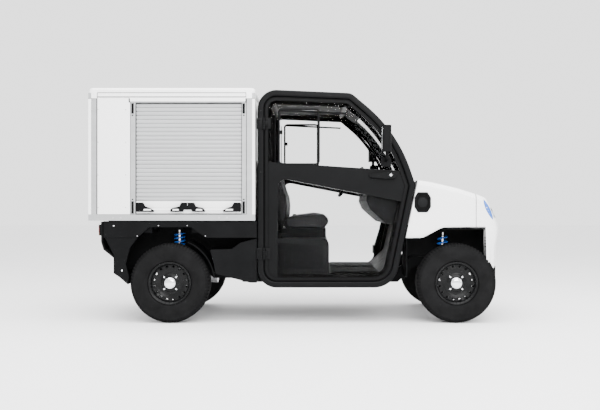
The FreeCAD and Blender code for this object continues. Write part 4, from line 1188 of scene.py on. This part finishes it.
def lamp_patch(first, last, low, top, lift):
    """Patch of the right nose corner between two distances from the middle, lifted off the skin."""
    edge = lamp_edge(first, last)
    tree = nose_tree()
    rows = 6
    bm = bmesh.new()
    bmesh.ops.create_grid(bm, x_segments=len(edge) - 1, y_segments=rows, size=1.0)
    grid = sorted(bm.verts, key=lambda v: (round(v.co.x, 5), v.co.y))
    for i, (point, inward) in enumerate(edge):
        trim = 0.012 * (1.0 if i in (0, len(edge) - 1) else 0.0)
        for row in range(rows + 1):
            z = low + trim + (top - low - 2.0 * trim) * row / rows
            spot, normal = on_nose(tree, point, inward, z)
            grid[i * (rows + 1) + row].co = spot + normal * lift
    bmesh.ops.recalc_face_normals(bm, faces=bm.faces[:])
    return bm


def reflector_shape():
    """Two bright bowls behind the right lens."""
    tree = nose_tree()
    bm = bmesh.new()
    for y in (-0.44, -0.53):
        point, inward = min(lamp_edge(0.385, 0.600), key=lambda found: abs(found[0].y - y))
        spot, normal = on_nose(tree, point, inward, 0.880)
        merge(bm, turned([(0.0, 0.002), (0.012, 0.0024), (0.022, 0.0034), (0.0265, 0.0048), (0.0285, 0.0048),
                          (0.0285, -0.004), (0.0, -0.004)], spot, normal, 32))
    return bm


def build_front_body():
    """Hood, fenders, nose, headlamps, ports, grille and screws."""
    skin_piece("hood_skin", hood_shape, "hood", "hood")
    skin_piece("fender_skins", fender_shape, "front_fenders", "chassis")
    skin_piece("nose_skin", nose_shape, "nose_panel", "chassis")
    blue = add_piece("blue_accents", twin(crescent_shape), "spring_blue", "chassis")
    blue_wall = blue.modifiers.new("thickness", "SOLIDIFY")
    blue_wall.thickness = 0.0016
    blue_wall.offset = 0.0
    bezel = add_piece("headlamp_bezels", twin(lambda: lamp_patch(0.385, 0.600, 0.846, 0.915, 0.0022)), "gloss_black",
                      "chassis")
    bezel_wall = bezel.modifiers.new("thickness", "SOLIDIFY")
    bezel_wall.thickness = 0.0012
    bezel_wall.offset = 0.0
    add_piece("headlamp_reflectors", twin(reflector_shape), "chrome", "chassis")
    lamp = add_piece("headlamp_lenses", twin(lambda: lamp_patch(0.375, 0.630, 0.838, 0.924, 0.0062)), "lamp_lens",
                     "chassis", ("headlamps",))
    lamp_wall = lamp.modifiers.new("thickness", "SOLIDIFY")
    lamp_wall.thickness = 0.0018
    lamp_wall.offset = 0.0
    add_piece("fender_ports", twin(port_rim_shape), "textured_plastic", "chassis", ())
    add_piece("port_wells", twin(port_well_shape), "seal_rubber", "chassis")
    add_piece("port_discs", twin(port_disc_shape), "interior_moulding", "chassis", ())

    def screws():
        bm = bmesh.new()
        for x, z in ((0.884, 0.717), (1.438, 0.808)):
            merge(bm, button_head((x, -0.6446, z), (0.0, -1.0, 0.0), 0.0062))
        return bm
    add_piece("body_screws", twin(screws), "chrome", "chassis")

    grille = bmesh.new()
    for i in range(5):
        z = 0.535 + i * 0.026
        merge(grille, solid([(-0.19, z, 0.008), (0.19, z, 0.008), (0.19, z + 0.016, 0.008), (-0.19, z + 0.016, 0.008)],
                            end_place(1.6495), Vector((0.0075, 0.0, 0.0)), 3, 0.001, 1))
    add_piece("nose_grille", grille, "textured_plastic", "chassis", ())
    plate = solid([(-0.17, 0.448, 0.012), (0.17, 0.448, 0.012), (0.17, 0.518, 0.012), (-0.17, 0.518, 0.012)],
                  end_place(1.6475), Vector((0.005, 0.0, 0.0)), 4, 0.0008, 1)
    add_piece("blank_front_plate", plate, "white_sheet", "chassis")


# ---- cab and doors ------------------------------------------------------------------------
CAB = ((-0.331, 0.281, 0.150), (0.759, 0.281, 0.200), (0.929, 1.098, 0.040), (0.789, 1.519, 1.150),
       (0.415, 1.834, 0.090), (-0.331, 1.866, 0.150))


def cab_ring(low, high, y, depth):
    """Closed band following the cab outline between two insets, on the right side."""
    bm = rounded_face(inset_corners(CAB, low), side_place(y), 10)
    inner = rounded_face(inset_corners(CAB, high), side_place(y), 10)
    partner = {tuple(vert.co): other.co.copy() for vert, other in zip(bm.verts, inner.verts)}
    inner.free()
    bmesh.ops.delete(bm, geom=bm.faces[:], context="FACES_ONLY")
    made = bmesh.ops.extrude_edge_only(bm, edges=bm.edges[:])
    for vert in (v for v in made["geom"] if isinstance(v, bmesh.types.BMVert)):
        vert.co = partner[tuple(vert.co)]
    made = bmesh.ops.extrude_face_region(bm, geom=bm.faces[:])
    moved = [v for v in made["geom"] if isinstance(v, bmesh.types.BMVert)]
    bmesh.ops.translate(bm, vec=(0.0, depth, 0.0), verts=moved)
    bmesh.ops.recalc_face_normals(bm, faces=bm.faces[:])
    return bm


def hinge_on_cage(z):
    """Cage half of one right door hinge."""
    bm = solid([(-0.338, z - 0.046, 0.008), (-0.2895, z - 0.046, 0.006), (-0.2895, z + 0.046, 0.006),
                (-0.338, z + 0.046, 0.008)], side_place(-0.6448), Vector((0.0, -0.006, 0.0)), 4, 0.0015)
    for dz in (-0.028, 0.028):
        merge(bm, bolt((-0.318, -0.6505, z + dz), (0.0, -1.0, 0.0), 0.0068))
    merge(bm, bar((-0.279, -0.659, z - 0.046), (-0.279, -0.659, z - 0.018), 0.0105, 20))
    merge(bm, bar((-0.279, -0.659, z + 0.018), (-0.279, -0.659, z + 0.046), 0.0105, 20))
    merge(bm, block((-0.291, -0.661, z - 0.045), (-0.281, -0.6445, z - 0.019), 0.0015))
    merge(bm, block((-0.291, -0.661, z + 0.019), (-0.281, -0.6445, z + 0.045), 0.0015))
    return bm


def hinge_on_door(z):
    """Door half of one right door hinge."""
    bm = bar((-0.279, -0.659, z - 0.0172), (-0.279, -0.659, z + 0.0172), 0.0105, 20)
    merge(bm, solid([(-0.272, z - 0.044, 0.008), (-0.226, z - 0.044, 0.008), (-0.226, z + 0.044, 0.008),
                     (-0.272, z + 0.044, 0.008)], side_place(-0.6385), Vector((0.0, -0.011, 0.0)), 4, 0.003))
    merge(bm, block((-0.277, -0.661, z - 0.017), (-0.255, -0.6445, z + 0.017), 0.0015))
    for dz in (-0.030, 0.030):
        merge(bm, button_head((-0.246, -0.6495, z + dz), (0.0, -1.0, 0.0), 0.006))
    return bm


def slider_shape():
    """Frame of the sliding pane in the right door."""
    outer = [(-0.165, 1.262, 0.032), (0.161, 1.262, 0.032), (0.161, 1.708, 0.032), (-0.165, 1.708, 0.032)]
    bm = bmesh.new()
    for corners, radius, y in ((outer, 0.0045, -0.6315), (inset_corners(outer, 0.010), 0.0028, -0.6325)):
        merge(bm, tube_along(loop_points(corners, side_place(y), 5), radius, 8, True))
    merge(bm, bar((-0.192, -0.6305, 1.262), (-0.192, -0.6305, 1.690), 0.0035, 12))
    merge(bm, bar((-0.162, -0.6305, 1.280), (-0.162, -0.6305, 1.690), 0.0075, 12))
    for x in (-0.1435,):
        merge(bm, solid([(x - 0.011, 1.505, 0.004), (x + 0.011, 1.505, 0.004), (x + 0.011, 1.537, 0.004),
                         (x - 0.011, 1.537, 0.004)], side_place(-0.629), Vector((0.0, -0.008, 0.0)), 4, 0.0015))
    merge(bm, bar((-0.150, -0.6305, 1.6960), (0.372, -0.6305, 1.6715), 0.0075, 12))
    merge(bm, bar((0.152, -0.6305, 1.268), (0.152, -0.6305, 1.676), 0.0080, 12))
    return bm


def handle_piece():
    """Pull handle of the right door, thick end forward."""
    corners = [(0.563, 1.157, 0.012), (0.700, 1.150, 0.020), (0.771, 1.149, 0.016), (0.772, 1.202, 0.018),
               (0.690, 1.201, 0.020), (0.566, 1.184, 0.012)]
    bm = solid(corners, side_place(-0.6395), Vector((0.0, -0.0325, 0.0)), 6, 0.007, 3)
    merge(bm, solid([(0.588, 1.162, 0.008), (0.690, 1.158, 0.012), (0.690, 1.190, 0.012), (0.588, 1.180, 0.008)],
                    side_place(-0.6715), Vector((0.0, -0.0012, 0.0)), 4, 0.0006, 1))
    return bm


def mirror_glass_shape():
    """Reflecting face at the back of the right mirror head."""
    bm = solid([(-0.820, 1.368, 0.016), (-0.740, 1.368, 0.016), (-0.740, 1.553, 0.016), (-0.820, 1.553, 0.016)],
               end_place(0.6475), Vector((-0.0012, 0.0, 0.0)), 6, 0.0004, 1)
    return bm


def build_cab():
    """Side frames, cross tubes, roof, glass, rear wall and floor."""
    for name in SIDES:
        dress(name + "_cab_side_frame", "black_powder_coat", "chassis", 0.006, 3)
    dress("cab_cross_tubes", "black_powder_coat", "chassis", 0.004)
    dress("roof_panel", "textured_plastic", "chassis", 0.002)
    dress("cab_rear_wall", "interior_moulding", "chassis", 0.003)
    dress("cab_floor", "chassis_paint", "chassis", 0.002)
    dress("windscreen", "clear_glass", "chassis", 0.001, 1)
    dress("rear_window", "clear_glass", "chassis", 0.001, 1)

    def cage_bolts():
        bm = bmesh.new()
        for x, z in ((-0.306, 0.372), (-0.306, 1.20), (-0.306, 1.69), (0.845, 0.752), (0.905, 1.02)):
            merge(bm, button_head((x, -0.645, z), (0.0, -1.0, 0.0), 0.007))
        return bm
    add_piece("door_opening_seals", twin(lambda: cab_ring(0.044, 0.061, -0.6082, 0.008)), "seal_rubber", "chassis")
    add_piece("cage_inner_flanges", twin(lambda: cab_ring(0.010, 0.062, -0.5945, 0.030)), "interior_moulding",
              "chassis", ())
    liner = block((-0.285, -0.590, 1.786), (0.405, 0.590, 1.800), 0.002, 1)
    add_piece("cab_roof_lining", liner, "interior_moulding", "chassis", ())
    add_piece("cage_bolts", twin(cage_bolts), "gloss_black", "chassis")

    wiper = bar((0.880, 0.10, 1.165), (0.700, 0.32, 1.585), 0.005, 12)
    merge(wiper, bar((0.892, 0.10, 1.128), (0.880, 0.10, 1.170), 0.011, 16))
    add_piece("wiper_arm", wiper, "black_powder_coat", "chassis")

    wall = [(0.846, 0.836, 0.004), (0.858, 0.836, 0.004), (0.886, 1.060, 0.004), (0.874, 1.060, 0.004)]
    lining = solid(wall, side_place(-0.594), Vector((0.0, 1.188, 0.0)), 3, 0.001, 1)
    visor = [(0.404, 1.778, 0.010), (0.424, 1.796, 0.004), (0.520, 1.718, 0.004), (0.508, 1.690, 0.010)]
    merge(lining, solid(visor, side_place(-0.590), Vector((0.0, 1.180, 0.0)), 4, 0.001, 1))
    add_piece("cab_front_linings", lining, "interior_moulding", "chassis", ())

    seal = tube_along([(0.4125, -0.56, 1.814), (0.4125, 0.0, 1.814), (0.4125, 0.56, 1.814)], 0.006, 10)
    add_piece("roof_edge_seal", seal, "seal_rubber", "chassis")
    window_seal = tube_along(loop_points([(-0.434, 1.296, 0.05), (0.434, 1.296, 0.05), (0.434, 1.674, 0.05),
                                          (-0.434, 1.674, 0.05)], end_place(-0.302), 6), 0.006, 8, True)
    add_piece("rear_window_seal", window_seal, "seal_rubber", "chassis")


def build_doors():
    """Door frames, glass, seals, hinges, handles, window sliders and mirrors."""
    for name, side in SIDES.items():
        body = "door_" + name
        dress(name + "_door_frame", "black_powder_coat", body, 0.0045, 3)
        dress(name + "_door_glass", "clear_glass", body, 0.0008, 1)
        dress(name + "_door_mirror", "textured_plastic", body, 0.008, 3)
        add_piece(name + "_mirror_glass", on_side(mirror_glass_shape(), side), "mirror_glass", body)
        seals = cab_ring(0.0575, 0.0625, -0.6398, -0.0016)
        merge(seals, cab_ring(0.0815, 0.0862, -0.6385, -0.0022))
        add_piece(name + "_door_seals", on_side(seals, side), "seal_rubber", body)
        trim = cab_ring(0.083, 0.111, -0.6088, 0.0120)
        add_piece(name + "_door_inner_trim", on_side(trim, side), "seal_rubber", body)
        add_piece(name + "_window_slider", on_side(slider_shape(), side), "textured_plastic", body,
                  ())
        add_piece(name + "_door_handle", on_side(handle_piece(), side), "textured_plastic", body, ())
        lock = turned([(0.0, 0.0), (0.0098, 0.0), (0.0098, 0.002), (0.0078, 0.0034), (0.0, 0.0034)],
                      (0.728, -0.6712, 1.179), (0.0, -1.0, 0.0), 24)
        merge(lock, block((0.7272, -0.6752, 1.174), (0.7288, -0.6742, 1.184), 0.0002, 1))
        add_piece(name + "_door_lock", on_side(lock, side), "chrome", body)
        plates = merge(hinge_on_cage(1.589), hinge_on_cage(0.554))
        add_piece(name + "_hinge_plates", on_side(plates, side), "black_powder_coat", "chassis", ())
        leaves = merge(hinge_on_door(1.589), hinge_on_door(0.554))
        add_piece(name + "_hinge_leaves", on_side(leaves, side), "black_powder_coat", body, ())


# ---- interior -----------------------------------------------------------------------------
def stuff(piece, voxel, pressure, cap):
    """Fill a pad with a short cloth run, hold it near its pattern and round it off."""
    remesh = piece.modifiers.new("cells", "REMESH")
    remesh.mode = "VOXEL"
    remesh.voxel_size = voxel
    apply_modifiers(piece)
    rest = [v.co.copy() for v in piece.data.vertices]
    cloth = piece.modifiers.new("filling", "CLOTH")
    settings = cloth.settings
    settings.quality = 5
    settings.mass = 0.3
    settings.tension_stiffness = 25.0
    settings.compression_stiffness = 25.0
    settings.shear_stiffness = 10.0
    settings.bending_stiffness = 3.0
    settings.use_pressure = True
    settings.uniform_pressure_force = pressure
    settings.shrink_min = 0.01
    settings.effector_weights.gravity = 0.0
    cloth.collision_settings.use_collision = False
    cloth.point_cache.frame_start = 1
    cloth.point_cache.frame_end = 20
    scene = bpy.context.scene
    for index in range(1, 21):
        scene.frame_set(index)
    apply_modifiers(piece)
    scene.frame_set(1)
    for vert, start in zip(piece.data.vertices, rest):
        move = vert.co - start
        if move.length > cap:
            vert.co = start + move * (cap / move.length)
    smooth = piece.modifiers.new("round", "SUBSURF")
    smooth.levels = 1
    smooth.render_levels = 1
    apply_modifiers(piece)
    shade(piece, 180.0)


def apply_modifiers(piece):
    """Make a piece's modifiers part of its mesh."""
    graph = bpy.context.evaluated_depsgraph_get()
    mesh = bpy.data.meshes.new_from_object(piece.evaluated_get(graph))
    old = piece.data
    piece.modifiers.clear()
    piece.data = mesh
    bpy.data.meshes.remove(old)


def back_profile(grow):
    """Side view of a seat back, thickest at the base."""
    return [(-0.190 + 0.004, 0.8035, 0.03), (-0.112, 0.812, 0.03), (-0.1035, 0.930, 0.06), (-0.112, 1.010, 0.08),
            (-0.140, 1.085, 0.10), (-0.178 + grow, 1.236, 0.02), (-0.222, 1.238, 0.02)]


def build_seats():
    """Seat plinth, pans, stuffed cushions and backs, levers and belt buckles."""
    dress("seat_box", "interior_moulding", "chassis", 0.006, 3)
    dress("seat_bases", "textured_plastic", "chassis", 0.004)
    low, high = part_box("seat_cushions")
    back_low, back_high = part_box("seat_backs")
    for name, side in SIDES.items():
        y0, y1 = (low[1], -0.030) if side < 0 else (0.030, high[1])
        profile = [(low[0] + 0.004, 0.760, 0.03), (high[0] - 0.035, 0.757, 0.035), (high[0] - 0.003, 0.800, 0.03),
                   (high[0] - 0.014, 0.852, 0.04), (0.120, 0.869, 0.10), (low[0] + 0.004, 0.842, 0.03)]
        pad = solid(profile, side_place(y0 + 0.004), Vector((0.0, y1 - y0 - 0.008, 0.0)), 4, 0.012, 3)
        piece = add_piece(name + "_seat_cushion", pad, "seat_vinyl", "chassis",
                          ("seat_cushions",) if side < 0 else ())
        stuff(piece, 0.006, 4.0, 0.003)
        b0, b1 = (back_low[1], -0.030) if side < 0 else (0.030, back_high[1])
        back = solid(back_profile(0.0), side_place(b0 + 0.004), Vector((0.0, b1 - b0 - 0.008, 0.0)), 4, 0.010, 3)
        rest = add_piece(name + "_seat_back", back, "seat_vinyl", "chassis",
                         ("seat_backs",) if side < 0 else ())
        stuff(rest, 0.006, 4.0, 0.003)

    def levers():
        bm = bar((0.150, -0.30, 0.735), (0.207, -0.30, 0.733), 0.006, 12)
        merge(bm, bar((0.158, -0.18, 0.712), (0.209, -0.18, 0.710), 0.006, 12))
        merge(bm, block((0.186, -0.345, 0.724), (0.213, -0.255, 0.741), 0.004))
        return bm
    add_piece("seat_levers", twin(levers), "textured_plastic", "chassis", ())

    def buckles():
        bm = tube_along([(-0.06, -0.035, 0.72), (-0.06, -0.040, 0.78), (-0.052, -0.045, 0.825)], 0.006, 10)
        merge(bm, block((-0.068, -0.060, 0.800), (-0.038, -0.032, 0.862), 0.005))
        return bm
    add_piece("belt_buckles", twin(buckles), "textured_plastic", "chassis", ())

    def side_panels():
        bm = solid([(-0.185, 0.425, 0.02), (0.190, 0.425, 0.02), (0.190, 0.610, 0.05), (-0.185, 0.635, 0.02)],
                   side_place(-0.5698), Vector((0.0, -0.004, 0.0)), 5, 0.0015)
        for x, z in ((-0.165, 0.447), (0.170, 0.447), (0.165, 0.600), (-0.165, 0.612)):
            merge(bm, button_head((x, -0.5736, z), (0.0, -1.0, 0.0), 0.005))
        return bm
    add_piece("seat_box_side_panels", twin(side_panels), "textured_plastic", "chassis", ())

    belts = bmesh.new()
    for side in (-1.0, 1.0):
        strap = tube_along([(-0.285, side * 0.535, 1.60), (-0.262, side * 0.545, 1.15), (-0.236, side * 0.556, 0.78)],
                           0.004, 8)
        merge(belts, strap)
    add_piece("belt_straps", belts, "seat_vinyl", "chassis")


def build_controls():
    """Dashboard, gauges, switches, steering wheel, column, pedals and floor mat."""
    dress("dashboard", "interior_moulding", "chassis", 0.008, 3)
    dress("steering_column", "textured_plastic", "chassis", 0.003)
    dress("steering_wheel", "textured_plastic", "steering", 0.002)
    hub = Vector((0.453, 0.300, 1.151))
    rake = math.radians(40.0)
    axis = Vector((math.cos(rake), 0.0, -math.sin(rake)))
    pad = turned([(0.0, 0.0), (0.046, 0.0), (0.050, -0.004), (0.050, -0.012), (0.044, -0.020), (0.0, -0.023)],
                 hub + axis * 0.004, axis, 40)
    add_piece("horn_pad", pad, "interior_moulding", "steering", ())
    stalks = bar(hub + axis * 0.055 + Vector((0.0, -0.03, 0.0)),
                 hub + axis * 0.050 + Vector((0.0, -0.130, 0.012)), 0.006)
    add_piece("column_stalk", stalks, "textured_plastic", "chassis", ())

    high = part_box("dashboard")[1]
    panel = bmesh.new()
    for y, radius in ((0.300, 0.052), (0.19, 0.022), (0.41, 0.022)):
        merge(panel, turned([(0.0, 0.0), (radius, 0.0), (radius, 0.006), (radius * 0.9, 0.009), (radius * 0.86, 0.004),
                             (0.0, 0.004)], (0.640, y, high[2] - 0.055), (-0.8, 0.0, 0.6), 36))
    add_piece("gauge_cluster", panel, "gloss_black", "chassis", ())

    pedals = bmesh.new()
    for y in (0.22, 0.34):
        merge(pedals, block((0.655, y - 0.030, 0.500), (0.668, y + 0.030, 0.575), 0.003))
        merge(pedals, bar((0.668, y, 0.545), (0.745, y, 0.790), 0.008, 12))
    add_piece("pedals", pedals, "textured_plastic", "chassis", ())

    mat = bmesh.new()
    for side in (-1.0, 1.0):
        y0, y1 = sorted((side * 0.05, side * 0.55))
        merge(mat, block((0.262, y0, 0.4005), (0.640, y1, 0.4035), 0.001, 1))
        for i in range(12):
            x = 0.285 + i * 0.029
            merge(mat, block((x, y0 + 0.02, 0.403), (x + 0.010, y1 - 0.02, 0.4055), 0.0008, 1))
    add_piece("floor_mats", mat, "ribbed_mat", "chassis")


# ---- stage --------------------------------------------------------------------------------
def build_stage():
    """Pale floor, soft lights and the side-on camera."""
    scene = bpy.context.scene
    bm = bmesh.new()
    bmesh.ops.create_grid(bm, x_segments=2, y_segments=2, size=30.0)
    bmesh.ops.translate(bm, vec=(0.0, 0.0, -0.0005), verts=bm.verts[:])
    mesh = bpy.data.meshes.new("floor")
    bm.to_mesh(mesh)
    bm.free()
    paper = Finish("pale_floor", (0.93, 0.93, 0.935), roughness=0.6)
    paper.tint(paper.noise(0.4), (0.93, 0.93, 0.935), (0.95, 0.95, 0.955))
    mesh.materials.append(paper.material)
    floor = bpy.data.objects.new("floor", mesh)
    scene.collection.objects.link(floor)

    world = bpy.data.worlds.new("studio")
    scene.world = world
    world.use_nodes = True
    world.node_tree.nodes["Background"].inputs["Color"].default_value = (1.0, 1.0, 1.0, 1.0)
    world.node_tree.nodes["Background"].inputs["Strength"].default_value = 2.3

    def area(name, place, target, size, power):
        data = bpy.data.lights.new(name, "AREA")
        data.shape = "RECTANGLE"
        data.size, data.size_y = size
        data.energy = power
        light = bpy.data.objects.new(name, data)
        light.location = place
        light.rotation_euler = (Vector(target) - Vector(place)).to_track_quat("-Z", "Y").to_euler()
        scene.collection.objects.link(light)
    area("overhead_softbox", (0.0, -1.2, 5.2), (0.0, 0.0, 0.8), (7.0, 5.0), 720.0)
    area("side_softbox", (1.5, -6.0, 3.6), (0.0, 0.0, 0.9), (5.0, 3.0), 480.0)
    area("front_softbox", (6.0, -2.0, 2.6), (0.6, 0.0, 0.9), (3.0, 3.0), 70.0)

    camera_data = bpy.data.cameras.new("side_view")
    camera_data.lens = 48.8
    camera_data.sensor_width = 36.0
    camera_data.shift_x = -0.0235
    camera_data.shift_y = -0.0007
    camera = bpy.data.objects.new("side_view", camera_data)
    camera.location = (0.119, -7.12, 0.944)
    camera.rotation_euler = (math.radians(90.0), 0.0, 0.0)
    scene.collection.objects.link(camera)
    scene.camera = camera


# ---- springs at the wheels ----------------------------------------------------------------
STRUTS = (((-0.991, -0.400, 0.372), (-0.991, -0.400, 0.739)), ((1.175, -0.386, 0.245), (1.185, -0.372, 0.719)))


def spring_parts():
    """Coils of the right springs."""
    bm = bmesh.new()
    for foot, head in STRUTS:
        foot, head = Vector(foot), Vector(head)
        low, high = foot.lerp(head, 0.435), foot.lerp(head, 0.925)
        merge(bm, coil_shape(low, high, 0.0395, sizes().wire, 6.0))
    return bm


def damper_parts():
    """Polished rods and collars of the right dampers."""
    bm = bmesh.new()
    for foot, head in STRUTS:
        foot, head = Vector(foot), Vector(head)
        merge(bm, bar(foot.lerp(head, 0.36), foot.lerp(head, 0.99), 0.012, 20))
        merge(bm, bar(foot, foot.lerp(head, 0.56), 0.0235, 24, 0.003))
    return bm


def cup_parts():
    """Spring seats on the right dampers."""
    bm = bmesh.new()
    for foot, head in STRUTS:
        foot, head = Vector(foot), Vector(head)
        for low, high in ((0.415, 0.430), (0.930, 0.946)):
            merge(bm, bar(foot.lerp(head, low), foot.lerp(head, high), 0.0455, 28, 0.0015))
    return bm


def build_springs():
    """Coil springs over dampers."""
    add_piece("coil_springs", twin(spring_parts), "spring_blue", "chassis", ("coil_struts",), 60.0)
    add_piece("damper_rods", twin(damper_parts), "chrome", "chassis")
    add_piece("spring_cups", twin(cup_parts), "chassis_paint", "chassis", ())


# ---- operators, panel and registration ----------------------------------------------------
class VAN_OT_finishes(bpy.types.Operator):
    """Make every procedural finish"""
    bl_idname = "van.finishes"
    bl_label = "Finishes"

    def execute(self, context):
        make_finishes(context.scene.van_colours)
        return {"FINISHED"}


class VAN_OT_wheels(bpy.types.Operator):
    """Tyres, rims, hub caps and lug bolts"""
    bl_idname = "van.wheels"
    bl_label = "Wheels"

    def execute(self, context):
        build_wheels()
        return {"FINISHED"}


class VAN_OT_running_gear(bpy.types.Operator):
    """Arms, axle, drive unit, battery and knuckles"""
    bl_idname = "van.running_gear"
    bl_label = "Running gear"

    def execute(self, context):
        build_running_gear()
        return {"FINISHED"}


class VAN_OT_springs(bpy.types.Operator):
    """Coil springs over dampers"""
    bl_idname = "van.springs"
    bl_label = "Springs"

    def execute(self, context):
        build_springs()
        return {"FINISHED"}


class VAN_OT_box(bpy.types.Operator):
    """Frame, panels, roof cap and hardware of the cargo box"""
    bl_idname = "van.box"
    bl_label = "Cargo box"

    def execute(self, context):
        build_box()
        return {"FINISHED"}


class VAN_OT_shutters(bpy.types.Operator):
    """Slatted curtains with bottom bars, lift rods and handles"""
    bl_idname = "van.shutters"
    bl_label = "Shutters"

    def execute(self, context):
        build_shutters()
        return {"FINISHED"}


class VAN_OT_lower_body(bpy.types.Operator):
    """Chassis rails, skirts, rear fascia, lockers and lamps"""
    bl_idname = "van.lower_body"
    bl_label = "Lower body"

    def execute(self, context):
        build_lower_body()
        return {"FINISHED"}


class VAN_OT_front_body(bpy.types.Operator):
    """Hood, fenders, nose, headlamps, ports and grille"""
    bl_idname = "van.front_body"
    bl_label = "Front body"

    def execute(self, context):
        build_front_body()
        return {"FINISHED"}


class VAN_OT_cab(bpy.types.Operator):
    """Side frames, cross tubes, roof, glass, rear wall and floor"""
    bl_idname = "van.cab"
    bl_label = "Cab"

    def execute(self, context):
        build_cab()
        return {"FINISHED"}


class VAN_OT_doors(bpy.types.Operator):
    """Door frames, glass, seals, hinges, handles, sliders and mirrors"""
    bl_idname = "van.doors"
    bl_label = "Doors"

    def execute(self, context):
        build_doors()
        return {"FINISHED"}


class VAN_OT_seats(bpy.types.Operator):
    """Seat plinth, stuffed cushions and backs, levers and buckles"""
    bl_idname = "van.seats"
    bl_label = "Seats"

    def execute(self, context):
        build_seats()
        return {"FINISHED"}


class VAN_OT_controls(bpy.types.Operator):
    """Dashboard, gauges, steering wheel, column, pedals and mats"""
    bl_idname = "van.controls"
    bl_label = "Controls"

    def execute(self, context):
        build_controls()
        return {"FINISHED"}


class VAN_OT_stage(bpy.types.Operator):
    """Floor, lights and camera"""
    bl_idname = "van.stage"
    bl_label = "Stage"

    def execute(self, context):
        build_stage()
        return {"FINISHED"}


OPERATORS = (
    VAN_OT_finishes, VAN_OT_wheels, VAN_OT_running_gear, VAN_OT_springs, VAN_OT_box, VAN_OT_shutters,
    VAN_OT_lower_body, VAN_OT_front_body, VAN_OT_cab, VAN_OT_doors, VAN_OT_seats, VAN_OT_controls,
    VAN_OT_stage,
)


class VAN_PT_pieces(bpy.types.Panel):
    """Sidebar list of the van's pieces."""
    bl_label = "Electric utility van"
    bl_idname = "VAN_PT_pieces"
    bl_space_type = "VIEW_3D"
    bl_region_type = "UI"
    bl_category = "Van"

    def draw(self, context):
        for settings in (context.scene.van_sizes, context.scene.van_colours):
            for key in settings.__annotations__:
                self.layout.prop(settings, key)
        for item in OPERATORS:
            self.layout.operator(item.bl_idname)


CLASSES = (VanSizes, VanColours) + OPERATORS + (VAN_PT_pieces,)


def register():
    """Register the settings, operators and panel."""
    for item in CLASSES:
        bpy.utils.register_class(item)
    bpy.types.Scene.van_sizes = bpy.props.PointerProperty(type=VanSizes)
    bpy.types.Scene.van_colours = bpy.props.PointerProperty(type=VanColours)


def unregister():
    """Remove the settings, operators and panel."""
    del bpy.types.Scene.van_colours
    del bpy.types.Scene.van_sizes
    for item in reversed(CLASSES):
        bpy.utils.unregister_class(item)


def main():
    """Build everything in order."""
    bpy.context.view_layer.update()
    register()
    for item in OPERATORS:
        getattr(bpy.ops.van, item.bl_idname.split(".")[1])()


if __name__ == "__main__":
    main()
